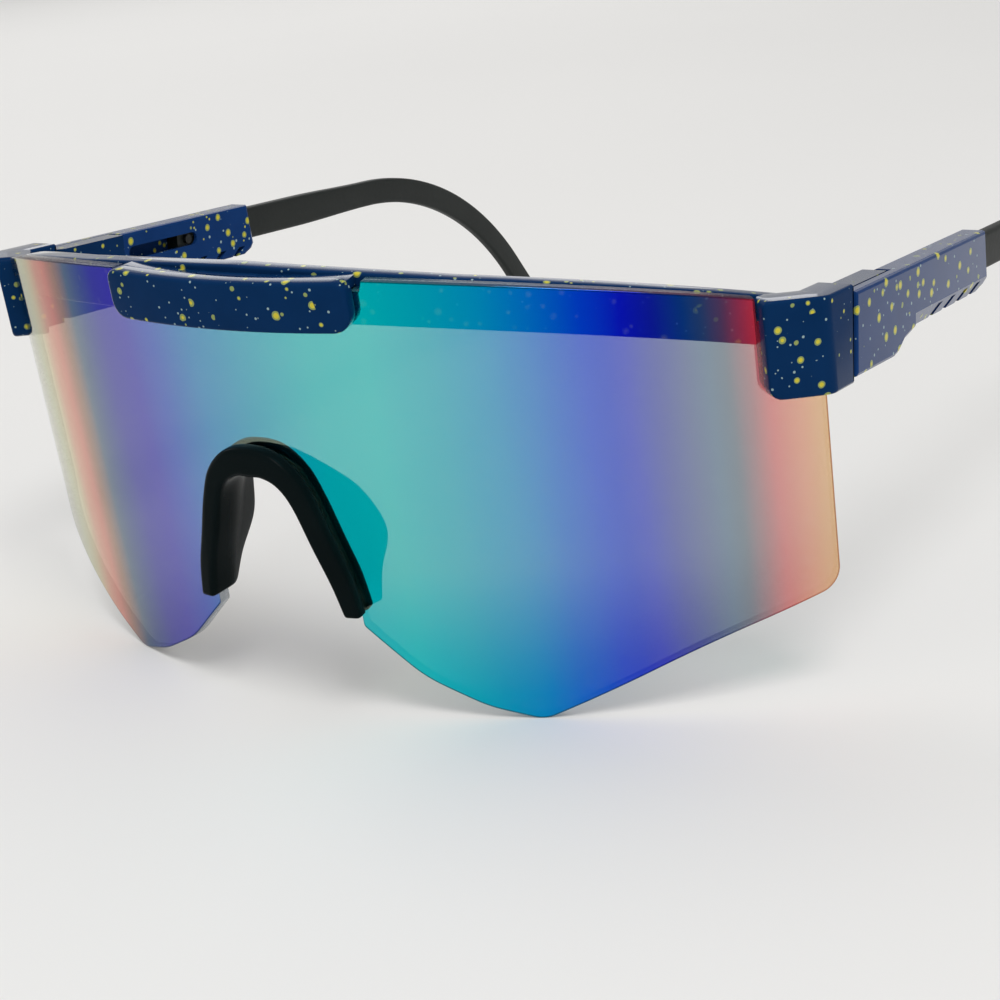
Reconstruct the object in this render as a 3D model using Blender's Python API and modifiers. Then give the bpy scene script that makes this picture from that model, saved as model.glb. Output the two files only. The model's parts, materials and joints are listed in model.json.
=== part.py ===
"""Sport sunglasses: a shield lens under a brow frame, with tilting and sliding temples.

The front stands in its own frame: X to the wearer's left, Y to the rear, Z up, with the lens
front touching Y 0 at the middle. Each temple has a frame of its own, with Y along the temple.
"""
import math

import bmesh
import bpy
from mathutils import Matrix, Vector

for leftover in list(bpy.data.objects):
    bpy.data.objects.remove(leftover, do_unlink=True)

# Clearances and modelling steps
GAP = 0.0003
PIN_PLAY = 0.0001
OVERRUN = 0.003
WELD = 0.00003
WRAP_STEP = 0.0045
ROUND_SIDES = 24
CORNER_STEPS = 3
ROUND_END_STEPS = 5
ROUND_END_SHARE = 0.98
FLAT_ANGLE = math.radians(0.5)
SMOOTH_ANGLE = math.radians(30)
BEVEL_ANGLE = math.radians(35)

# Stance on the ground
FRONT_LEAN = math.radians(4.85)
TEMPLE_DROP = math.radians(9.1)

# Shield lens, measured along its curved front
LENS_RADIUS = 0.094
LENS_THICKNESS = 0.0018
LENS_HALF_ARC = 0.0786
LENS_HEIGHT = 0.064
BROW_DROP = 0.0087
BROW_DROP_ARC = 0.070
BROW_DROP_POWER = 2.2
LENS_CORNER = 0.0035
LENS_TIP_ROUND = 0.007
LENS_CHEEK_ROUND = 0.015
# Lower edge from the outer corner to the nose, as shares of the half arc and the height
CORNER_SHARE = (1.0, 0.197)
BELLY_SHARE = (0.763, 0.120)
TIP_SHARE = (0.464, -0.009)
CHEEK_SHARE = (0.261, 0.109)
NOSTRIL_SHARE = (0.168, 0.219)

# Brow frame
WALL_HEIGHT = 0.0068
WALL_THICKNESS = 0.0024
WALL_CROWN = 0.0007
WALL_CROWN_ARC = 0.032
WALL_EDGE = 0.0004
PLATE_HALF_WIDTH = 0.0195
PLATE_HEIGHT = 0.0069
PLATE_THICKNESS = 0.0020
PLATE_CORNER = 0.0025
PLATE_TOP_CORNER = 0.0015
PLATE_EDGE = 0.0006
WEB_THICKNESS = 0.0013
WEB_STEP = 0.0003
WEB_SLOT_LENGTH = 0.0098
WEB_SLOT_WIDTH = 0.0010

# End clips: how much of the lens's side they grip, and how far they stand out past it
CLIP_GRIP = 0.0083
CLIP_SIDE_WALL = 0.001845
CLIP_THICKNESS = 0.0021
CLIP_ABOVE = 0.0011
CLIP_BELOW = 0.0120
CLIP_CORNER = 0.0025
CLIP_EDGE = 0.0005
CLIP_ROOF = 0.0016
POCKET_PLAY = 0.00035
SEAM = 0.0010

# Hinge corner, the top front corner of the sleeve, from the lens's side edge and top
HINGE_BEHIND_LENS = 0.00757
HINGE_BELOW_BROW = 0.01203

# Knuckle, fold screw and tongue
KNUCKLE_WIDTH = 0.00345
KNUCKLE_HEIGHT = 0.0114
KNUCKLE_REAR = 0.0150
FOLD_Y = 0.0016
TONGUE_HEIGHT = 0.0038
TONGUE_TOP = 0.0038
SCREW_RADIUS = 0.00075
SCREW_HEAD_RADIUS = 0.00115
SCREW_HEAD_HEIGHT = 0.0008
DRIVER_SLOT_SHARE = 0.2
SCREW_TIP_BELOW_TOP = 0.0012

# Tilt rivet and friction washer
TILT_Y = 0.0080
TILT_Z = -0.0060
RIVET_RADIUS = 0.0009
RIVET_HEAD_RADIUS = 0.0018
RIVET_HEAD_THICKNESS = 0.0007
RIVET_GRIP = 0.0010
WASHER_RADIUS = 0.0027
WASHER_THICKNESS = 0.0005

# Temple sleeve
SLEEVE_LENGTH = 0.0513
SLEEVE_HEIGHT = 0.0115
SLEEVE_THICKNESS = 0.0041
SLEEVE_WALL = 0.00155
SLEEVE_EDGE = 0.0005
SLEEVE_SEAM = 0.0009
# Side outline as shares of the length and height
SLEEVE_OUTLINE_SHARES = [
    (0.0, 0.0), (0.978, 0.0), (1.0, -0.62), (0.985, -0.70), (0.945, -0.775), (0.41, -0.785),
    (0.34, -0.85), (0.298, -0.965), (0.262, -1.0), (0.0, -0.99)]
# Bevel along the lower outer edge of the rear part, and the finger grooves cut across it
BEVEL_FRONT = 0.0212
BEVEL_TOP_Z = -0.0069
BEVEL_DEPTH = 0.0010
BEVEL_HEIGHT = 0.0021
GROOVE_COUNT = 4
GROOVE_FIRST_Y = 0.03075
GROOVE_PITCH = 0.00535
GROOVE_TOP_Z = -0.0073
GROOVE_WIDTH = 0.0017
GROOVE_LENGTH = 0.0050
GROOVE_SLANT = math.radians(38)

# Arm channel, side slot and click stud
CHANNEL_FRONT = 0.0172
SLOT_FRONT = 0.0174
SLOT_REAR = 0.0353
SLOT_HEIGHT = 0.0022
STUD_Y = 0.0333
STUD_RADIUS = 0.0008
STUD_DEPTH = 0.0014
STUD_SINK = 0.0002
CHANNEL_PLAY = 0.00025

# Temple arm
ARM_INSET = 0.0021
ARM_Z = -0.0036
ARM_HEIGHT = 0.0057
ARM_THICKNESS = 0.0023
ARM_CORNER = 0.0007
ARM_FRONT = 0.0310
TAPER_START = 0.0665
TAPER_END = 0.0890
REAR_SHARE = 0.86
EAR_BEND_Y = 0.0900
EAR_BEND_RADIUS = 0.0735
EAR_BEND_ANGLE = math.radians(47)
EAR_END_LENGTH = 0.02105
TIP_LENGTH = 0.0030
TIP_TURN = math.radians(80)
TAPER_STEPS = 4
BEND_STEPS = 12
TIP_STEPS = 5

# Nose bridge
NOSE_HALF_WIDTH = 0.0136
NOSE_FOOT_Z = 0.0160
NOSE_HEIGHT = 0.0253
NOSE_LIP = 0.0025
NOSE_LIP_EDGE = 0.0006
NOSE_LIP_SHARE = 0.16
NOSE_BACK_LIP = 0.0012
NOSE_DEPTH = 0.0101
PAD_THICKNESS = 0.0017
LIP_SLOT_SHARE = 0.44
LENS_SEAT_SHARE = 0.55
# From the foot to the crown: shares of half width, height and depth for the inner edge of the
# lip, its outer edge and the inner edge of the pad's rear
NOSE_STATION_SHARES = [
    ((0.824, 0.028), (1.000, 0.099), (0.882, 0.500, 0.000)),
    ((0.721, 0.198), (0.934, 0.233), (0.850, 0.740, 0.150)),
    ((0.581, 0.415), (0.838, 0.425), (0.809, 1.000, 0.330)),
    ((0.441, 0.644), (0.706, 0.664), (0.650, 0.880, 0.575)),
    ((0.309, 0.751), (0.560, 0.850), (0.430, 0.600, 0.735)),
    ((0.147, 0.794), (0.300, 0.972), (0.200, 0.430, 0.820)),
    ((0.000, 0.794), (0.000, 1.000), (0.000, 0.390, 0.835))]
NOSE_SUBSTEPS = 3


def on_lens(arc, depth, height):
    """Point at an arc along the lens front, a depth behind it and a height."""
    angle = arc / LENS_RADIUS
    reach = LENS_RADIUS - depth
    return Vector((reach * math.sin(angle), LENS_RADIUS - reach * math.cos(angle), height))


# Worked out from the values above
WALL_FRONT = LENS_THICKNESS + GAP
WALL_BACK = WALL_FRONT + WALL_THICKNESS
WALL_MIDDLE = WALL_FRONT + WALL_THICKNESS / 2
LENS_SIDE = on_lens(LENS_HALF_ARC, 0, LENS_HEIGHT)
TEMPLE_OUTER = LENS_SIDE.x + CLIP_SIDE_WALL
HINGE_Y = LENS_SIDE.y + HINGE_BEHIND_LENS
HINGE_Z = LENS_HEIGHT - HINGE_BELOW_BROW
CLIP_START_ARC = LENS_HALF_ARC - CLIP_GRIP
ARM_X = TEMPLE_OUTER - ARM_INSET
PLATE_TOP = LENS_HEIGHT
WEB_TOP = PLATE_TOP - WEB_STEP
WEB_BOTTOM = WEB_TOP - WEB_THICKNESS
CLIP_FRONT = GAP + CLIP_THICKNESS
SLEEVE_WALL_X = TEMPLE_OUTER - SLEEVE_WALL
KNUCKLE_OUTER = SLEEVE_WALL_X - GAP
KNUCKLE_INNER = KNUCKLE_OUTER - KNUCKLE_WIDTH
WALL_END_ARC = math.asin(KNUCKLE_INNER / (LENS_RADIUS - WALL_MIDDLE)) * LENS_RADIUS
FOLD_X = KNUCKLE_OUTER - KNUCKLE_WIDTH / 2
KNUCKLE_NOSE = KNUCKLE_WIDTH / 2
SLEEVE_INNER = TEMPLE_OUTER - SLEEVE_THICKNESS

# Frames for outlines: along the temple's side, square across it, and flat on the ground plan
SIDE = Matrix(((0, 0, 1, 0), (1, 0, 0, 0), (0, 1, 0, 0), (0, 0, 0, 1)))
ACROSS = Matrix(((1, 0, 0, 0), (0, 0, -1, 0), (0, 1, 0, 0), (0, 0, 0, 1)))
PLAN = Matrix.Identity(4)

parts = bpy.data.collections.new("sport_sunglasses")
cutters = bpy.data.collections.new("cutters")
bpy.context.scene.collection.children.link(parts)
bpy.context.scene.collection.children.link(cutters)


def material(name, colour, metallic, roughness):
    """Principled material of one plain colour."""
    made = bpy.data.materials.new(name)
    made.use_nodes = True
    shader = made.node_tree.nodes["Principled BSDF"]
    shader.inputs["Base Color"].default_value = (*colour, 1.0)
    shader.inputs["Metallic"].default_value = metallic
    shader.inputs["Roughness"].default_value = roughness
    return made


PAINT = ("navy_paint", (0.02, 0.05, 0.11), 0.0, 0.25)
MIRROR = ("mirror_lens", (0.20, 0.42, 0.62), 0.9, 0.08)
RUBBER = ("black_rubber", (0.015, 0.016, 0.017), 0.0, 0.5)
NYLON = ("black_nylon", (0.02, 0.02, 0.022), 0.0, 0.4)
STEEL = ("steel", (0.6, 0.6, 0.62), 1.0, 0.3)


class Axis:
    """An empty whose children keep the coordinates of the frame it stands in.

    A turned one starts a frame of its own.
    """

    def __init__(self, name, place, parent=None, turn=0.0):
        """Put the empty at place in the shared frame, turned about X."""
        self.place = Vector(place)
        self.empty = bpy.data.objects.new(name, None)
        parts.objects.link(self.empty)
        self.empty.location = self.place
        if parent is not None:
            self.empty.parent = parent.empty
            self.empty.location -= parent.place
        self.empty.rotation_euler.x = turn
        if turn:
            self.place = Vector((0, 0, 0))

    def hold(self, thing):
        """Parent a thing that is modelled in the frame's coordinates."""
        thing.parent = self.empty
        thing.matrix_basis = Matrix.Translation(-self.place) @ thing.matrix_basis


def rounded(corners, steps=CORNER_STEPS):
    """Outline through (x, y, radius) corners, each radius an arc tangent to both its sides."""
    outline = []
    for index, (x, y, radius) in enumerate(corners):
        corner = Vector((x, y))
        before = (Vector(corners[index - 1][:2]) - corner).normalized()
        after = (Vector(corners[(index + 1) % len(corners)][:2]) - corner).normalized()
        if radius == 0:
            outline.append(corner)
            continue
        half = before.angle(after) / 2
        reach = radius / math.tan(half)
        centre = corner + (before + after).normalized() * radius / math.sin(half)
        start = corner + before * reach - centre
        end = corner + after * reach - centre
        first = math.atan2(start.y, start.x)
        sweep = (math.atan2(end.y, end.x) - first + math.pi) % math.tau - math.pi
        for step in range(steps + 1):
            angle = first + sweep * step / steps
            outline.append(centre + Vector((math.cos(angle), math.sin(angle))) * radius)
    return outline


def new_mesh_object(name, bm):
    """Object holding a bmesh, with its faces pointing out."""
    bmesh.ops.recalc_face_normals(bm, faces=bm.faces)
    mesh = bpy.data.meshes.new(name)
    bm.to_mesh(mesh)
    bm.free()
    thing = bpy.data.objects.new(name, mesh)
    parts.objects.link(thing)
    return thing


def to_mesh(curve_object):
    """Mesh object in the place of a curve object, with its caps welded and flat faces whole."""
    bpy.context.view_layer.update()
    evaluated = curve_object.evaluated_get(bpy.context.evaluated_depsgraph_get())
    bm = bmesh.new()
    bm.from_mesh(bpy.data.meshes.new_from_object(evaluated))
    bmesh.ops.remove_doubles(bm, verts=bm.verts, dist=WELD)
    bmesh.ops.dissolve_limit(bm, angle_limit=FLAT_ANGLE, verts=bm.verts, edges=bm.edges)
    name, placed = curve_object.name, curve_object.matrix_world.copy()
    bpy.data.objects.remove(curve_object, do_unlink=True)
    thing = new_mesh_object(name, bm)
    thing.matrix_world = placed
    return thing


def slab(name, outline, low, high, edge=0.0, basis=PLAN):
    """Flat outline filled from low to high along its own Z, its rims rounded by edge."""
    curve = bpy.data.curves.new(name, "CURVE")
    curve.dimensions = "2D"
    curve.fill_mode = "BOTH"
    curve.extrude = (high - low) / 2 - edge
    curve.bevel_depth = edge
    curve.bevel_resolution = 1
    curve.offset = -edge
    spline = curve.splines.new("POLY")
    spline.points.add(len(outline) - 1)
    for point, place in zip(spline.points, outline):
        point.co = (place[0], place[1], 0, 1)
    spline.use_cyclic_u = True
    thing = bpy.data.objects.new(name, curve)
    parts.objects.link(thing)
    thing.matrix_world = basis @ Matrix.Translation((0, 0, (low + high) / 2))
    return to_mesh(thing)


def box(name, low, high):
    """Box between two corners."""
    bm = bmesh.new()
    bmesh.ops.create_cube(bm, size=1)
    low, high = Vector(low), Vector(high)
    bmesh.ops.scale(bm, vec=high - low, verts=bm.verts)
    bmesh.ops.translate(bm, vec=(low + high) / 2, verts=bm.verts)
    return new_mesh_object(name, bm)


def rod(name, radius, start, end):
    """Round bar between two points."""
    start, end = Vector(start), Vector(end)
    bm = bmesh.new()
    bmesh.ops.create_cone(bm, cap_ends=True, segments=ROUND_SIDES, radius1=radius, radius2=radius,
                          depth=(end - start).length)
    lie = (end - start).to_track_quat("Z", "Y").to_matrix().to_4x4()
    bmesh.ops.transform(bm, matrix=Matrix.Translation((start + end) / 2) @ lie, verts=bm.verts)
    return new_mesh_object(name, bm)


def combine(target, tool, operation, solver="EXACT"):
    """Boolean modifier with a hidden tool that stands in the target's frame."""
    for collection in tool.users_collection:
        collection.objects.unlink(tool)
    cutters.objects.link(tool)
    tool.hide_render = True
    tool.display_type = "WIRE"
    modifier = target.modifiers.new(tool.name, "BOOLEAN")
    modifier.operation = operation
    modifier.solver = solver
    modifier.object = tool


def finish(thing, look):
    """Give a piece its material and smooth round faces."""
    thing.data.materials.append(material(f"{thing.name}_{look[0]}", *look[1:]))
    thing.data.shade_smooth()
    thing.data.set_sharp_from_angle(angle=SMOOTH_ANGLE)


def wrap(thing):
    """Bend a flat slab, with its Z towards the front, onto the lens cylinder."""
    bm = bmesh.new()
    bm.from_mesh(thing.data)
    bm.transform(thing.matrix_world)
    arcs = [vertex.co.x for vertex in bm.verts]
    first = math.ceil(min(arcs) / WRAP_STEP - 0.5)
    last = math.floor(max(arcs) / WRAP_STEP - 0.5)
    for station in range(first, last + 1):
        arc = (station + 0.5) * WRAP_STEP
        bmesh.ops.bisect_plane(bm, geom=bm.verts[:] + bm.edges[:] + bm.faces[:], dist=WELD,
                               plane_co=(arc, 0, 0), plane_no=(1, 0, 0))
    bmesh.ops.remove_doubles(bm, verts=bm.verts, dist=WELD)
    for vertex in bm.verts:
        vertex.co = on_lens(vertex.co.x, -vertex.co.z, vertex.co.y)
    bmesh.ops.triangulate(bm, faces=bm.faces)
    bm.to_mesh(thing.data)
    bm.free()
    thing.matrix_world = Matrix.Identity(4)
    return thing


def front_slab(name, outline, near, far, edge=0.0):
    """Outline in lens arc and height, filled from depth near to depth far and bent."""
    return wrap(slab(name, outline, -far, -near, edge))


def brow_line(arc):
    """Height of the lens top: it falls from the middle with a power of the arc."""
    return LENS_HEIGHT - BROW_DROP * (abs(arc) / BROW_DROP_ARC) ** BROW_DROP_POWER


def mirrored(half):
    """Closed outline from its right half, given from the top middle to the lower middle."""
    return half + [(-x, y) for x, y in reversed(half) if x > 0]


def arcs_between(start, end):
    """Evenly spaced arcs, about one wrap step apart, with both ends."""
    count = max(1, round((end - start) / WRAP_STEP))
    return [start + (end - start) * step / count for step in range(count + 1)]


def nose_stations():
    """Stations of the nose bridge from foot to crown, smoothed between the chosen ones."""
    rows = []
    for inner, outer, rear in NOSE_STATION_SHARES:
        rows.append([inner[0] * NOSE_HALF_WIDTH, NOSE_FOOT_Z + inner[1] * NOSE_HEIGHT,
                     outer[0] * NOSE_HALF_WIDTH, NOSE_FOOT_Z + outer[1] * NOSE_HEIGHT,
                     rear[0] * NOSE_HALF_WIDTH, rear[1] * NOSE_DEPTH,
                     NOSE_FOOT_Z + rear[2] * NOSE_HEIGHT])
    flip = (-1, 1, -1, 1, -1, 1, 1)
    beyond = [value * sign for value, sign in zip(rows[-2], flip)]
    before = [2 * near - far for near, far in zip(rows[0], rows[1])]
    rail = [before] + rows + [beyond]
    smooth = []
    for index in range(1, len(rail) - 2):
        for step in range(NOSE_SUBSTEPS):
            smooth.append([catmull(rail[index - 1 + k][column] for k in range(4))(step / NOSE_SUBSTEPS)
                           for column in range(len(flip))])
    return smooth + [rows[-1]]


def catmull(values):
    """Catmull-Rom curve through the middle two of four values."""
    a, b, c, d = values
    return lambda t: b + t * (c - a + t * (2 * a - 5 * b + 4 * c - d
                                           + t * (3 * (b - c) + d - a))) / 2


NOSE = nose_stations()


def shield_lens(front):
    """One curved sheet, notched for the nose and lowered under the web and the clips."""
    step_arc = PLATE_HALF_WIDTH + GAP + PLATE_EDGE
    clip_arc = CLIP_START_ARC - GAP
    clip_top = clip_roof_height() - GAP
    half = [(0, WEB_BOTTOM - GAP), (step_arc, WEB_BOTTOM - GAP)]
    half += [(arc, brow_line(arc)) for arc in arcs_between(step_arc, clip_arc)]
    half += [(clip_arc, clip_top), (LENS_HALF_ARC, clip_top)]
    seat = [(inner_x + LENS_SEAT_SHARE * (outer_x - inner_x),
             inner_z + LENS_SEAT_SHARE * (outer_z - inner_z))
            for inner_x, inner_z, outer_x, outer_z, *_ in NOSE]
    rounds = (LENS_CORNER, LENS_TIP_ROUND, LENS_TIP_ROUND, LENS_CHEEK_ROUND, LENS_CORNER / 2)
    shares = (CORNER_SHARE, BELLY_SHARE, TIP_SHARE, CHEEK_SHARE, NOSTRIL_SHARE)
    lower = [half[-1] + (0,)]
    lower += [(x * LENS_HALF_ARC, z * LENS_HEIGHT, r) for (x, z), r in zip(shares, rounds)]
    lower += [seat[0] + (0,)]
    half += [tuple(point) for point in rounded(lower)[1:-1]]
    lens = front_slab("shield_lens", mirrored(half + seat), 0, LENS_THICKNESS)
    front.hold(lens)
    finish(lens, MIRROR)


def clip_roof_height():
    """Height of the lens pocket's roof inside a clip, level with the clip's lowest front top."""
    forward = HINGE_Y - on_lens(CLIP_START_ARC, 0, 0).y
    return HINGE_Z + CLIP_ABOVE - CLIP_ROOF + forward * math.tan(TEMPLE_DROP) / 2


def clip(side, temple_frame, front):
    """End clip: a ground plan that follows the lens, trimmed square to the temple."""
    reach = LENS_RADIUS + CLIP_FRONT
    arcs = arcs_between(CLIP_START_ARC, math.asin(TEMPLE_OUTER / reach) * LENS_RADIUS)
    plan = [(*on_lens(arc, -CLIP_FRONT, 0).to_2d(), 0) for arc in arcs[:-1]]
    plan.append((*on_lens(arcs[-1], -CLIP_FRONT, 0).to_2d(), CLIP_CORNER))
    behind = HINGE_Y + OVERRUN
    plan += [(TEMPLE_OUTER, behind, 0), (KNUCKLE_INNER, behind, 0)]
    plan += [(*on_lens(arc, WALL_MIDDLE, 0).to_2d(), 0) for arc in (WALL_END_ARC, CLIP_START_ARC)]
    outline = [(side * x, y) for x, y in rounded(plan)]
    block = slab(f"clip_{side}", outline, HINGE_Z - 2 * CLIP_BELOW, HINGE_Z + CLIP_BELOW)
    front.hold(block)
    trim = box(f"clip_trim_{side}", (-TEMPLE_OUTER - OVERRUN, -HINGE_Y, -CLIP_BELOW),
               (TEMPLE_OUTER + OVERRUN, -SEAM, CLIP_ABOVE))
    temple_frame.hold(trim)
    combine(block, trim, "INTERSECT")
    bevel = block.modifiers.new("edges", "BEVEL")
    bevel.width = CLIP_EDGE
    bevel.segments = 2
    bevel.limit_method = "ANGLE"
    bevel.angle_limit = BEVEL_ANGLE
    block.modifiers.new("flat_faces", "TRIANGULATE")
    return block


def lens_pocket(side, front):
    """Cutter for the pocket in a clip that holds the side of the lens, open below."""
    low, high = CLIP_START_ARC - OVERRUN, LENS_HALF_ARC + GAP
    bottom, roof = HINGE_Z - 2 * CLIP_BELOW, clip_roof_height()
    outline = [(side * arc, z) for arc, z in ((low, bottom), (high, bottom), (high, roof), (low, roof))]
    pocket = front_slab(f"lens_pocket_{side}", outline, -GAP, LENS_THICKNESS + POCKET_PLAY)
    front.hold(pocket)
    return pocket


def tongue(side, temple_frame):
    """Hinge tongue that runs back from a clip to the fold screw, with a round end."""
    inner, outer = KNUCKLE_INNER, KNUCKLE_OUTER
    end = FOLD_Y + KNUCKLE_NOSE
    root = -SEAM - OVERRUN
    corners = [(inner, root, 0), (outer, root, 0), (outer, end, KNUCKLE_NOSE * ROUND_END_SHARE),
               (inner, end, KNUCKLE_NOSE * ROUND_END_SHARE)]
    outline = [(side * x, y) for x, y in rounded(corners, ROUND_END_STEPS)]
    piece = slab(f"tongue_{side}", outline, -TONGUE_TOP - TONGUE_HEIGHT, -TONGUE_TOP)
    temple_frame.hold(piece)
    return piece


def frame_front(front, temple_frames):
    """Brow frame: rear wall, centre plate, web, end clips and hinge tongues in one moulding."""
    arcs = arcs_between(0, WALL_END_ARC - WALL_EDGE)
    top = [(arc, brow_line(arc) + WALL_CROWN * max(0, 1 - arc / WALL_CROWN_ARC)) for arc in arcs]
    bottom = [(arc, brow_line(arc) - WALL_HEIGHT) for arc in reversed(arcs)]
    body = front_slab("frame_front", mirrored(top + bottom), WALL_FRONT, WALL_BACK, WALL_EDGE)
    front.hold(body)

    half, low = PLATE_HALF_WIDTH, PLATE_TOP - PLATE_HEIGHT
    corners = [(-half, PLATE_TOP, PLATE_TOP_CORNER), (half, PLATE_TOP, PLATE_TOP_CORNER),
               (half, low, PLATE_CORNER), (-half, low, PLATE_CORNER)]
    plate = front_slab("brow_plate", rounded(corners), -GAP - PLATE_THICKNESS, -GAP, PLATE_EDGE)
    front.hold(plate)
    combine(body, plate, "UNION", "MANIFOLD")

    reach = half - GAP
    sheet = [(-reach, WEB_TOP), (reach, WEB_TOP), (reach, WEB_BOTTOM), (-reach, WEB_BOTTOM)]
    web = front_slab("web", sheet, -GAP - PLATE_THICKNESS / 2, WALL_MIDDLE)
    front.hold(web)
    combine(body, web, "UNION", "MANIFOLD")
    slot = WEB_SLOT_LENGTH / 2
    opening = [(-slot, WEB_TOP + OVERRUN), (slot, WEB_TOP + OVERRUN),
               (slot, WEB_BOTTOM - GAP), (-slot, WEB_BOTTOM - GAP)]
    slot_cutter = front_slab("web_slot", opening, 0, WEB_SLOT_WIDTH)
    front.hold(slot_cutter)
    combine(body, slot_cutter, "DIFFERENCE", "MANIFOLD")

    for side, temple_frame in temple_frames.items():
        combine(body, clip(side, temple_frame, front), "UNION", "MANIFOLD")
        combine(body, tongue(side, temple_frame), "UNION", "MANIFOLD")
        combine(body, lens_pocket(side, front), "DIFFERENCE", "MANIFOLD")
        bore = rod(f"tongue_bore_{side}", SCREW_RADIUS + PIN_PLAY,
                   (side * FOLD_X, FOLD_Y, -KNUCKLE_HEIGHT), (side * FOLD_X, FOLD_Y, 0))
        temple_frame.hold(bore)
        combine(body, bore, "DIFFERENCE", "MANIFOLD")
    finish(body, PAINT)


def nose_ring(row, side):
    """Section of the nose bridge: front lip, pad, back lip and the groove between the lips."""
    inner_x, inner_z, outer_x, outer_z, rear_x, rear_y, rear_z = row

    def at(share, depth):
        """Point a share of the way from the lip's inner edge to its outer edge."""
        return on_lens(side * (inner_x + share * (outer_x - inner_x)), depth,
                       inner_z + share * (outer_z - inner_z))

    rear = Vector((side * rear_x, rear_y, rear_z))
    outward = (at(1, 0) - at(0, 0)).normalized() * PAD_THICKNESS
    lens_back = LENS_THICKNESS + GAP
    return [at(NOSE_LIP_SHARE, -NOSE_LIP), at(0, NOSE_LIP_EDGE - NOSE_LIP), at(0, lens_back),
            rear, rear + outward, at(1 - NOSE_LIP_SHARE, lens_back + NOSE_BACK_LIP),
            at(1, lens_back + NOSE_BACK_LIP / 2), at(1, lens_back), at(LIP_SLOT_SHARE, lens_back),
            at(LIP_SLOT_SHARE, -GAP), at(1, -GAP), at(1, NOSE_LIP_EDGE - NOSE_LIP),
            at(1 - NOSE_LIP_SHARE, -NOSE_LIP)]


def nose_bridge(front):
    """Soft arch lofted through its sections, from one foot over the crown to the other."""
    rings = [nose_ring(row, 1) for row in NOSE] + [nose_ring(row, -1) for row in NOSE[-2::-1]]
    bm = bmesh.new()
    loops = [[bm.verts.new(point) for point in ring] for ring in rings]
    for near, far in zip(loops, loops[1:]):
        for index in range(len(near)):
            bm.faces.new((near[index - 1], near[index], far[index], far[index - 1]))
    bm.faces.new(loops[0])
    bm.faces.new(reversed(loops[-1]))
    bridge = new_mesh_object("nose_bridge", bm)
    front.hold(bridge)
    finish(bridge, RUBBER)


def turned(name, profile, start, direction):
    """Round piece from (radius, height) points, top first, its height along a direction."""
    mesh = bpy.data.meshes.new(name)
    mesh.from_pydata([(radius, 0, height) for radius, height in profile],
                     [(index, index + 1) for index in range(len(profile) - 1)], [])
    thing = bpy.data.objects.new(name, mesh)
    parts.objects.link(thing)
    spin = thing.modifiers.new("spin", "SCREW")
    spin.steps = ROUND_SIDES
    spin.render_steps = ROUND_SIDES
    spin.use_merge_vertices = True
    spin.merge_threshold = WELD
    lie = Vector(direction).to_track_quat("Z", "Y").to_matrix().to_4x4()
    thing.matrix_world = Matrix.Translation(start) @ lie
    return thing


def spread(name, side, low, high, y_range, z_range):
    """Box at one side, between two distances from the middle plane."""
    x_low, x_high = sorted((side * low, side * high))
    return box(name, (x_low, y_range[0], z_range[0]), (x_high, y_range[1], z_range[1]))


def hinge_knuckle(name, side, fold):
    """Block that turns on the fold screw: two ears round the tongue, and the tilt rivet's seat."""
    end = KNUCKLE_NOSE * ROUND_END_SHARE
    nose = FOLD_Y - KNUCKLE_NOSE
    corners = [(KNUCKLE_INNER, KNUCKLE_REAR, 0), (KNUCKLE_INNER, nose, end),
               (KNUCKLE_OUTER, nose, end), (KNUCKLE_OUTER, KNUCKLE_REAR, 0)]
    outline = [(side * x, y) for x, y in rounded(corners, ROUND_END_STEPS)]
    block = slab(f"{name}_hinge_knuckle", outline, -KNUCKLE_HEIGHT, 0)
    fold.hold(block)

    fork = FOLD_Y + KNUCKLE_NOSE + 2 * GAP
    seat_floor = KNUCKLE_INNER + GAP / 2 + RIVET_HEAD_THICKNESS + GAP
    head_top = SCREW_HEAD_HEIGHT + GAP + PIN_PLAY - KNUCKLE_HEIGHT
    post = (side * FOLD_X, FOLD_Y)
    cuts = [
        spread(f"fork_{side}", side, KNUCKLE_INNER - OVERRUN, KNUCKLE_OUTER + OVERRUN,
               (nose - OVERRUN, fork), (-TONGUE_TOP - TONGUE_HEIGHT - GAP, GAP - TONGUE_TOP)),
        rod(f"screw_bore_{side}", SCREW_RADIUS + PIN_PLAY, (*post, -KNUCKLE_HEIGHT - OVERRUN),
            (*post, PIN_PLAY - SCREW_TIP_BELOW_TOP)),
        rod(f"screw_seat_{side}", SCREW_HEAD_RADIUS + PIN_PLAY,
            (*post, -KNUCKLE_HEIGHT - OVERRUN), (*post, head_top)),
        rod(f"rivet_bore_{side}", RIVET_RADIUS + PIN_PLAY,
            (side * (KNUCKLE_INNER - OVERRUN), TILT_Y, TILT_Z),
            (side * (KNUCKLE_OUTER + OVERRUN), TILT_Y, TILT_Z)),
        rod(f"rivet_seat_{side}", RIVET_HEAD_RADIUS + GAP,
            (side * (KNUCKLE_INNER - OVERRUN), TILT_Y, TILT_Z), (side * seat_floor, TILT_Y, TILT_Z)),
        rod(f"washer_seat_{side}", WASHER_RADIUS + GAP,
            (side * (KNUCKLE_OUTER - WASHER_THICKNESS), TILT_Y, TILT_Z),
            (side * (KNUCKLE_OUTER + OVERRUN), TILT_Y, TILT_Z))]
    for cutter in cuts:
        fold.hold(cutter)
        combine(block, cutter, "DIFFERENCE")
    finish(block, PAINT)


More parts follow.
